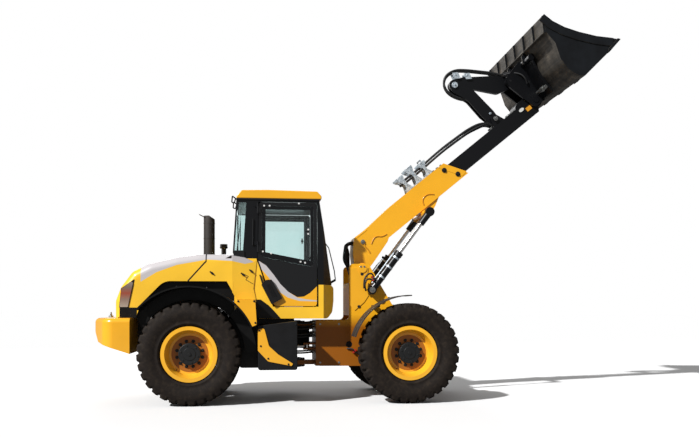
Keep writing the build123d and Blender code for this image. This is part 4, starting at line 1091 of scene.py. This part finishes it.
FENDER_BOLTS = 871  # from the axle
bolts = Bench()
bolts.flank_bolts([(886, 960), (905, 760), (1000, 600), (1260, 525)], 1052, 17)
bolts.flank_bolts([(620, 1335), (820, 1335), (836, 1060)], 1110, 18)
bolts.flank_bolts([(1350, 470), (1350, 1040), (895, 470), (1120, 470)], 1040, 18)
for angle in (50, 75, 100, 125, 145):
    a = math.radians(angle)
    x, z = FENDER_BOLTS * math.cos(a), AXLE_Z + FENDER_BOLTS * math.sin(a)
    for hand in SIDES:
        bolts.bolt(at(x, hand * 1085, z), Vector((math.cos(a), 0, math.sin(a))), 18)
bolts.done("body_bolts", dark_bolt, body, "black_paint")
print("rear end dressed")

# %% [markdown]
# ### Cab
# The doors are all glass in their upper part, and the sheet is clamped through its edge with round caps.
# A black enamelled border hides the seal. The wiper's two arms stand off the windscreen.

# %% Cab
for hand, side in ((-1, "right"), (1, "left")):
    door = f"door_{side}"
    out = Vector((0, hand, 0))
    dots = Bench()
    for x, z in ((950, 2604), (1022, 2605), (1409, 2640), (1534, 2295), (1534, 2238), (934, 1998),
                 (1042, 1974), (1432, 1866), (1492, 1852)):
        dots.bar(at(x, hand * 727, z), at(x, hand * 737, z), 13, 20, 11)
    dots.done(f"{door}_clamp_caps", white_dot, door, "moulded_plastic", edge=1)
    trim = Bench()
    trim.bar(at(1534, hand * 727, 2267), at(1534, hand * 741, 2267), 20, 24, 16)
    trim.plate([at(885, hand * 730, 1690), at(905, hand * 730, 1690), at(945, hand * 730, 1560),
                at(925, hand * 730, 1560)], out * 14 * MM)
    for x, z in ((970, 1578), (984, 1582), (998, 1586), (1012, 1590), (1020, 1590)):
        trim.bar(at(x + 12, hand * 772, z - 20), at(x + 95, hand * 772, z - 185), 4, 8)
    trim.done(f"{door}_fittings", moulded_black, door, "moulded_plastic", edge=1)
    frit = Bench()
    border = [(918, 1934), (928, 2597), (1602, 2597), (1602, 1800)]
    inner = [(966, 1990), (970, 2556), (1560, 2556), (1560, 1876)]
    for k in range(4):
        n = (k + 1) % 4
        ring = [border[k], border[n], inner[n], inner[k]]
        frit.plate([at(x, hand * 727.2, z) for x, z in ring], out * 1.6 * MM)
    frit.done(f"{door}_black_border", black_enamel, door, "black_paint")

lower = Bench()
mount_rows = [(548, 2003), (690, 2003), (690, 1930), (665, 1899), (580, 1899), (548, 1935)]
lower.side(mount_rows, 700, 738)
lower.side([(848, 1892), (848, 2652), (902, 2652), (902, 1892)], 660, 684)
for hand in SIDES:
    lower.bar(at(606, hand * 715, 1990), at(606, hand * 715, 2660), 7, 10)
    lower.bar(at(800, hand * 733, 2080), at(806, hand * 733, 2420), 10, 12)
    for z in (2080, 2420):
        lower.bar(at(803, hand * 718, z), at(803, hand * 734, z), 12, 12)
    for spots in (((590, 2735), (520, 2786)), ((520, 2786), (512, 2700)), ((512, 2700), (547, 2691)),
                  ((547, 2691), (561, 2746))):
        (x0, z0), (x1, z1) = spots
        lower.bar(at(x0, hand * 300, z0), at(x1, hand * 300, z1), 9, 12)
lower.done("cab_mounts_and_rails", moulded_black, body, "moulded_plastic", edge=1.5)

wiper = Bench()
for shift in (0, 22):
    route = [(1770, 2170), (1838, 2078), (1916, 1760), (1930, 1640)]
    for (x0, z0), (x1, z1) in zip(route, route[1:]):
        wiper.bar(at(x0, -400 + shift, z0), at(x1, -400 + shift, z1), 6, 10)
wiper.bar(at(1862, -390, 1600), at(1932, -390, 1640), 16, 16)
wiper.bar(at(1716, -402, 2560), at(1800, -392, 2000), 7, 10)
wiper.done("wiper", dark_bolt, body, "black_paint")

gutter = Bench()
gutter.side([(590, 2684), (590, 2702), (1700, 2702), (1700, 2684)], 722, 733)
gutter.done("roof_gutter", seam_black, body, "black_paint", edge=1)
print("cab dressed")

# %% [markdown]
# ### Hitch
# At the hitch the oil lines cross from the rear frame to the front frame in slack loops, so that the
# machine can bend in the middle. A rubber guard hangs behind them. Each line stays where it is drawn and
# rides on neither frame.

# %% Hitch
HITCH_LINES = ((1052, 300), (1010, 262), (975, 300), (900, 280), (862, 240), (640, 240))  # height, y
guard = Bench()
guard.side([(1148, 690), (1148, 1075), (1330, 1075), (1330, 990), (1568, 990), (1568, 760), (1520, 690)],
           106, 112)
guard.side([(1500, 700), (1500, 960), (1592, 960), (1592, 700)], 50, 56)
guard.done("hitch_guards", seam_black, body, "moulded_plastic", edge=1)
for hand in SIDES:
    for k, (z, y) in enumerate(HITCH_LINES):
        points = [at(1120, hand * y, z), at(1230, hand * (y + 6), z), at(1330, hand * (y + 24), z - 10),
                  at(1440, hand * (y + 30), z - 14), at(1560, hand * (y + 20), z - 8),
                  at(1640, hand * y, z), at(1700, hand * y, z)]
        side = "left" if hand > 0 else "right"
        hose(f"hitch_hose_{side}_{k}", points, 13,
             bend=("rear_body", "front_body", at(1290, hand * y, z), at(1600, hand * y, z)))
ferrules = {"rear_body": Bench(), "front_body": Bench()}
for hand in SIDES:
    for z, y in HITCH_LINES:
        ferrules["rear_body"].bar(at(1150, hand * y, z), at(1205, hand * (y + 3), z), 17, 14)
        ferrules["front_body"].bar(at(1622, hand * (y + 3), z), at(1660, hand * y, z), 17, 14)
for name, bench in ferrules.items():
    bench.done(f"hose_ferrules_{name}", zinc_bolt, name, "galvanised", edge=1)
print("hitch dressed")

# %% [markdown]
# ### Tower and lift cylinders
# The tower carries the boom between two thick plates. A doubler is welded on where the pins pull, with
# holes for slinging, drawn as black discs of painted shade. Each lift cylinder has a pipe and two hoses,
# and red caps close the spare ports.

# %% Tower
body = "front_body"
doubler = Bench()
doubler.side([(2132, 1290), (2132, 1812), (2394, 1814), (2356, 1617), (2394, 1424), (2330, 1330),
              (2200, 1215)], 390, 399)
doubler.done("tower_doublers", yellow_enamel, body, "yellow_paint", edge=3)

# painted shade: black discs stand in the holes for slinging, which lie in shade
holes = Bench()
for spot, y, radius in (((2300, 1722), 401, 22), ((2256, 1273), 401, 20), ((2120, 749), 385, 43)):
    holes.flank_bars([spot], 380, y, radius, 28)
holes.done("sling_hole_shades", seam_black, body, "black_paint")

small = Bench()
small.side([(2330, 1585), (2400, 1600), (2392, 1520), (2345, 1500)], 399, 407)
small.flank_bars([(2308, 1797)], 398, 410, 58, 40)
small.side([(2270, 1835), (2345, 1835), (2345, 1812), (2270, 1812)], 399, 409)
small.done("pin_keepers", yellow_enamel, body, "yellow_paint", edge=2)

bolts = Bench()
bolts.flank_bolts([(2284, 1824), (2330, 1824)], 409, 18)
bolts.flank_bolts([(1720, 500), (1720, 1030), (1980, 500), (2380, 500), (1980, 1030)], 390, 20)
bolts.flank_bars([(2430, 1500)], 517, 523, 42, 32, 40)
bolts.flank_bolts([(2430, 1500)], 523, 22)
bolts.done("tower_bolts", zinc_bolt, body, "galvanised", edge=0)
caps = Bench()
caps.flank_bars([(2205, 668)], 392, 440, 17, 16, 15)
caps.flank_bars([(2178, 640)], 392, 436, 14, 16, 13)
caps.done("front_port_caps", red_cap, body, "moulded_plastic", edge=1)
for hand in SIDES:
    side = "left" if hand > 0 else "right"
    hose(f"axle_hose_{side}", [at(2090, hand * 400, 690), at(2150, hand * 425, 700), at(2215, hand * 425, 640),
                               at(2270, hand * 405, 600), at(2330, hand * 395, 560)], 11, body)


LIFT_EYE = (1221, 0, 24)  # where the lift rod's eye meets the boom


def on_cylinder(side, u, y, w):
    """Millimetres along the lift cylinder from its foot, outwards from its middle, and across it."""
    foot = Vector(joints[f"lift_barrel_{side}_swing"]["pos_m"])
    along = Vector(joints[f"lift_rod_{side}_stroke"]["axis"])
    up = Vector((-along.z, 0, along.x))
    hand = 1 if side == "left" else -1
    return foot + along * (u * MM) + up * (w * MM) + Vector((0, hand * y * MM, 0))


for side in ("right", "left"):
    barrel = f"lift_barrel_{side}"

    def here(u, y, w):
        return on_cylinder(side, u, y, w)

    low, high = here(150, 44, 66), here(590, 44, 66)
    pipes = Bench()
    pipes.bar(low, high, 9, 14)
    pipes.bar(here(70, 40, 60), low, 9, 14)
    for u in (210, 380, 540):
        pipes.band(here(u, 0, 0), here(u + 26, 0, 0), 50, 55.5)
    pipes.done(f"{barrel}_pipes", galvanised, barrel, "galvanised", edge=1)
    block = Bench()
    block.plate([here(96, 18, 48), here(156, 18, 48), here(156, 18, 92),
                 here(96, 18, 92)], here(0, 40, 0) - here(0, 0, 0))
    block.bar(here(590, 0, 40), here(590, 0, 82), 16, 16)
    block.done(f"{barrel}_port_block", dark_bolt, barrel, "black_paint", edge=2)
    cap = Bench()
    cap.bar(here(138, 36, 92), here(138, 36, 122), 15, 16, 13)
    cap.bar(here(110, 58, 72), here(110, 76, 72), 13, 16, 11)
    cap.done(f"{barrel}_port_caps", red_cap, barrel, "moulded_plastic", edge=1)
    hose(f"{barrel}_hose_a", [here(*p) for p in
                              ((110, 30, 80), (105, 34, 120), (60, 36, 150), (0, 34, 130), (-40, 20, 90),
                               (-60, 0, 60))], 12, barrel)
    hose(f"{barrel}_hose_b", [here(*p) for p in
                              ((150, 10, 80), (190, 8, 125), (150, 6, 175), (80, 10, 180), (10, 14, 150),
                               (-50, 10, 100))], 12, barrel)
    gland = Bench()
    for u in (592, 632):
        gland.band(here(u, 0, 0), here(u + 12, 0, 0), 50, 60)
    gland.done(f"{barrel}_gland_rings", dark_bolt, barrel, "black_paint", edge=1)
    eye = on_boom(*LIFT_EYE)
    eye.y = middle(f"lift_rod_{side}").y
    along = Vector(joints[f"lift_rod_{side}_stroke"]["axis"])
    head = Bench()
    head.bar(eye - Vector((0, 45.5 * MM, 0)), eye + Vector((0, 45.5 * MM, 0)), 63.5, 40)
    head.bar(eye - along * 0.21, eye - along * 0.05, 46, 32, 50)
    head.done(f"lift_rod_{side}_eye", black_enamel, f"lift_rod_{side}", "black_paint", edge=2)
    skin = Bench()
    skin.bar(eye - along * 0.70, eye - along * 0.20, 28.1, 96)
    skin.done(f"lift_rod_{side}_chrome", hard_chrome, f"lift_rod_{side}", "chrome_rod")
print("tower dressed")

# %% [markdown]
# ### Boom
# The main boom is a welded box. Where brackets sit behind its side, short weld beads run in curves. Its
# mouth has adjusters for the wear pads, and three rows of galvanised hooks lead the hoses along the top.

# %% Boom
body = "boom"
beads = (((345, 182), (422, 229), (484, 215), (531, 161), (607, 154)),
         ((1286, 141), (1300, 200), (1365, 232), (1440, 222), (1497, 166)),
         ((251, 96), (262, 150), (255, 200), (262, 236)))
# painted shade: the beads take the darker yellow for their shadow
for hand in SIDES:
    side = "left" if hand > 0 else "right"
    for k, points in enumerate(beads):
        hose(f"weld_bead_{side}_{k}", [on_boom(u, hand * 191, w) for u, w in points], 9, body,
             material=shaded_weld_enamel, sides=2)

ADJUSTERS = [(1831, 342), (1954, 178)]
pads = Bench()
pads.flank_bars(ADJUSTERS, 189, 199, 35, 32, place=on_boom)
pads.flank_bolts(ADJUSTERS, 199, 34, on_boom)
pads.done("wear_pad_adjusters", dark_bolt, body, "black_paint", edge=1)

lugs = Bench()
lugs.flank_bars([(269, 282)], 189, 206, 33, 36, 30, on_boom)
lugs.flank_bolts([(269, 282)], 206, 30, on_boom)
for hand in SIDES:
    for u in (1700, 1790, 1850):
        lugs.bolt(on_boom(u, hand * 120, 427), boom_up, 26)
lugs.done("boom_pins", zinc_bolt, body, "galvanised", edge=1)

strips = Bench()
strips.side([(214, 392), (420, 386), (420, 372), (226, 376)], 190, 194, on_boom)
strips.side([(1780, 427), (1884, 427), (2080, 128), (1990, 112)], 190, 194, on_boom)
strips.done("boom_doublers", yellow_enamel, body, "yellow_paint", edge=2)

guides = Bench()
for foot, head, lean in ((1300, 671, -34), (1476, 700, -20), (1660, 640, -8)):
    for y in (-92, -30, 34, 96):
        waist = (head + 427) / 2
        low, high = 427, head
        rows = [(foot - 62, low), (foot + 62, low), (foot + 50, low + 26), (foot + 20, waist - 26),
                (foot + 20 + lean * 0.5, waist + 26), (foot + 66 + lean, high - 34), (foot + 70 + lean, high),
                (foot + 34 + lean, high + 4), (foot + 12 + lean, high - 30), (foot - 12 + lean, high - 30),
                (foot - 36 + lean, high + 4), (foot - 70 + lean, high), (foot - 66 + lean, high - 34),
                (foot - 24 + lean * 0.5, waist + 26), (foot - 24, waist - 26), (foot - 50, low + 26)]
        guides.plate([on_boom(u, y, w) for u, w in rows], Vector((0, 7 * MM, 0)))
    for u, w in ((foot - 40, 452), (foot + 40, 452), (foot - 48 + lean, head - 22), (foot + 48 + lean, head - 22)):
        guides.bar(on_boom(u, -96, w), on_boom(u, 104, w), 8, 12)
guides.done("hose_hooks", galvanised, body, "galvanised", edge=1)

ports = [(-92, 22), (-58, 20), (-22, 22), (14, 20), (50, 22), (86, 20)]
for k, (y, radius) in enumerate(ports):
    points = [on_boom(214, y, 330), on_boom(150, y, 372), on_boom(70, y * 1.1, 400 - 12 * (k % 2)),
              at(2098 + 26 * (k % 3), y * 1.2, 2040), at(2092 + 28 * (k % 3), y * 1.2, 1930),
              at(2150, y * 1.1, 1840), at(2200, y, 1700)]
    hose(f"boom_foot_hose_{k}", points, radius,
         bend=("front_body", "boom", at(2150, y, 1850), on_boom(70, y, 400)))
foot = Bench()
for y, radius in ports:
    foot.bar(on_boom(207, y, 330), on_boom(186, y, 346), radius + 5, 6)
foot.done("boom_foot_fittings", zinc_bolt, body, "galvanised", edge=1)
print("boom dressed")

# %% [markdown]
# ### Inner boom, rocker and link
# Two pairs of hoses run from the hooks to ports on the inner boom, and two loops follow the rocker and the
# link towards the quick coupler. The blank oval and the blank orange plate keep the places of labels.

# %% Inner boom and rocker
body = "boom_extension"
LINES = ((-68, 0), (68, 0), (-66, -38), (66, -38))  # across the boom, and above or below the first pair
for k, (y, rise) in enumerate(LINES):
    points = [on_boom(1727, y, 593 + rise), on_boom(2010, y, 606 + rise), on_boom(2285, y, 596 + rise),
              on_boom(2520, y, 585 + rise), on_boom(2700, y, 545 + rise), on_boom(2800, y * 0.9, 480),
              on_boom(2850, y * 0.8, 400)]
    line = hose(f"inner_boom_hose_{k}", points, 17,
                bend=("boom", "boom_extension", on_boom(1740, y, 590), on_boom(2700, y, 545)))
    if rise == 0:
        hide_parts("boom_hoses")
for k, (y, rise) in enumerate(LINES):
    points = [on_boom(1240, y, 600 + rise), on_boom(1320, y, 588 + rise), on_boom(1476, y, 590 + rise),
              on_boom(1600, y, 586 + rise), on_boom(1730, y, 592 + rise)]
    hose(f"hooked_hose_{k}", points, 17, "boom")

plates = Bench()
turns = [2 * math.pi * k / 36 for k in range(36)]
plates.side([(3308 + 42 * math.cos(a), 315 + 24 * math.sin(a)) for a in turns], 125.3, 127.3, on_boom)
plates.done("blank_oval_plates", plate_white, body, "moulded_plastic", edge=0.5)
plates = Bench()
plates.side([(3366, 236), (3452, 236), (3452, 296), (3366, 296)], 125.3, 127.3, on_boom)
plates.done("blank_orange_plates", plate_orange, body, "moulded_plastic", edge=0.5)

fittings = Bench()
for hand in SIDES:
    for u in (2810, 2860, 2910):
        fittings.bar(on_boom(u, hand * 60, 368), on_boom(u, hand * 60, 398), 19, 6)
    for u in (3080, 3150, 3200):
        fittings.bolt(on_boom(u, hand * 100, 372), boom_up, 26)
fittings.flank_bolts([(2925, 452), (3560, 300)], 126, 44, on_boom)
fittings.done("inner_boom_fittings", zinc_bolt, body, "galvanised", edge=1)

loop = [(2835, 470), (2850, 700), (2826, 905), (2705, 1020), (2630, 1170), (2648, 1310), (2760, 1395),
        (2920, 1372), (3060, 1262), (3200, 1130), (3330, 1010), (3420, 900)]
for k, (y, shift) in enumerate(((-34, 0), (34, 12))):
    points = [on_boom(u + shift, y, w - shift) for u, w in loop]
    hose(f"rocker_loop_{k}", points, 17,
         bend=("rocker", "tilt_link", on_boom(2660, y, 1290), on_boom(2840, y, 1390)))
clamps = Bench()
for u, w in ((2876, 1288), (3006, 1180)):
    for y in (-62, 46):
        clamps.plate([on_boom(u + a, y, w + b) for a, b in ((-44, -18), (30, -66), (52, 26), (-20, 72))],
                     Vector((0, 16 * MM, 0)))
    clamps.bar(on_boom(u, -70, w + 22), on_boom(u, 70, w + 22), 12, 12)
clamps.done("link_hose_clamps", galvanised, "tilt_link", "galvanised", edge=2)
pins = Bench()
pins.flank_bars([(2767, 1200)], 76, 90, 46, 36, 42, on_boom)
pins.flank_bolts([(2767, 1200)], 90, 26, on_boom)
pins.flank_bolts([(2925, 560)], 76, 24, on_boom)
pins.done("rocker_pins", galvanised, "rocker", "galvanised", edge=1)
print("inner boom and rocker dressed")

# %% [markdown]
# ### Coupler
# The quick coupler is full of small steel. It gets its bolts, its two lock pins and four short hoses.

# %% Coupler
body = "bucket_body"
heads = Bench()
rows = [(3430, 740), (3560, 300), (3640, 560), (3690, 440), (3600, 690), (3722, 812)]
heads.flank_bolts(rows, 148, 34, on_boom)
heads.flank_bolts([(3500, 620), (3560, 520), (3600, 400)], 148, 20, on_boom)
heads.done("coupler_bolts", dark_bolt, body, "black_paint", edge=1)
for k, (y, bow) in enumerate(((-60, 0), (-96, 30), (60, 10), (92, 40))):
    points = [on_boom(3420, y, 900 - bow), on_boom(3520, y * 1.4, 860 - bow), on_boom(3600, y * 2, 760 - bow),
              on_boom(3610, y * 2.2, 640), on_boom(3590, y * 2, 560)]
    hose(f"coupler_hose_{k}", points, 13, body)
lock = Bench()
lock.flank_bars([(3640, 360)], 160, 500, 24, 24, place=on_boom)
lock.flank_bars([(3640, 360)], 300, 420, 36, 6, place=on_boom)
lock.done("lock_pins", zinc_bolt, body, "galvanised", edge=1)
print("coupler dressed")
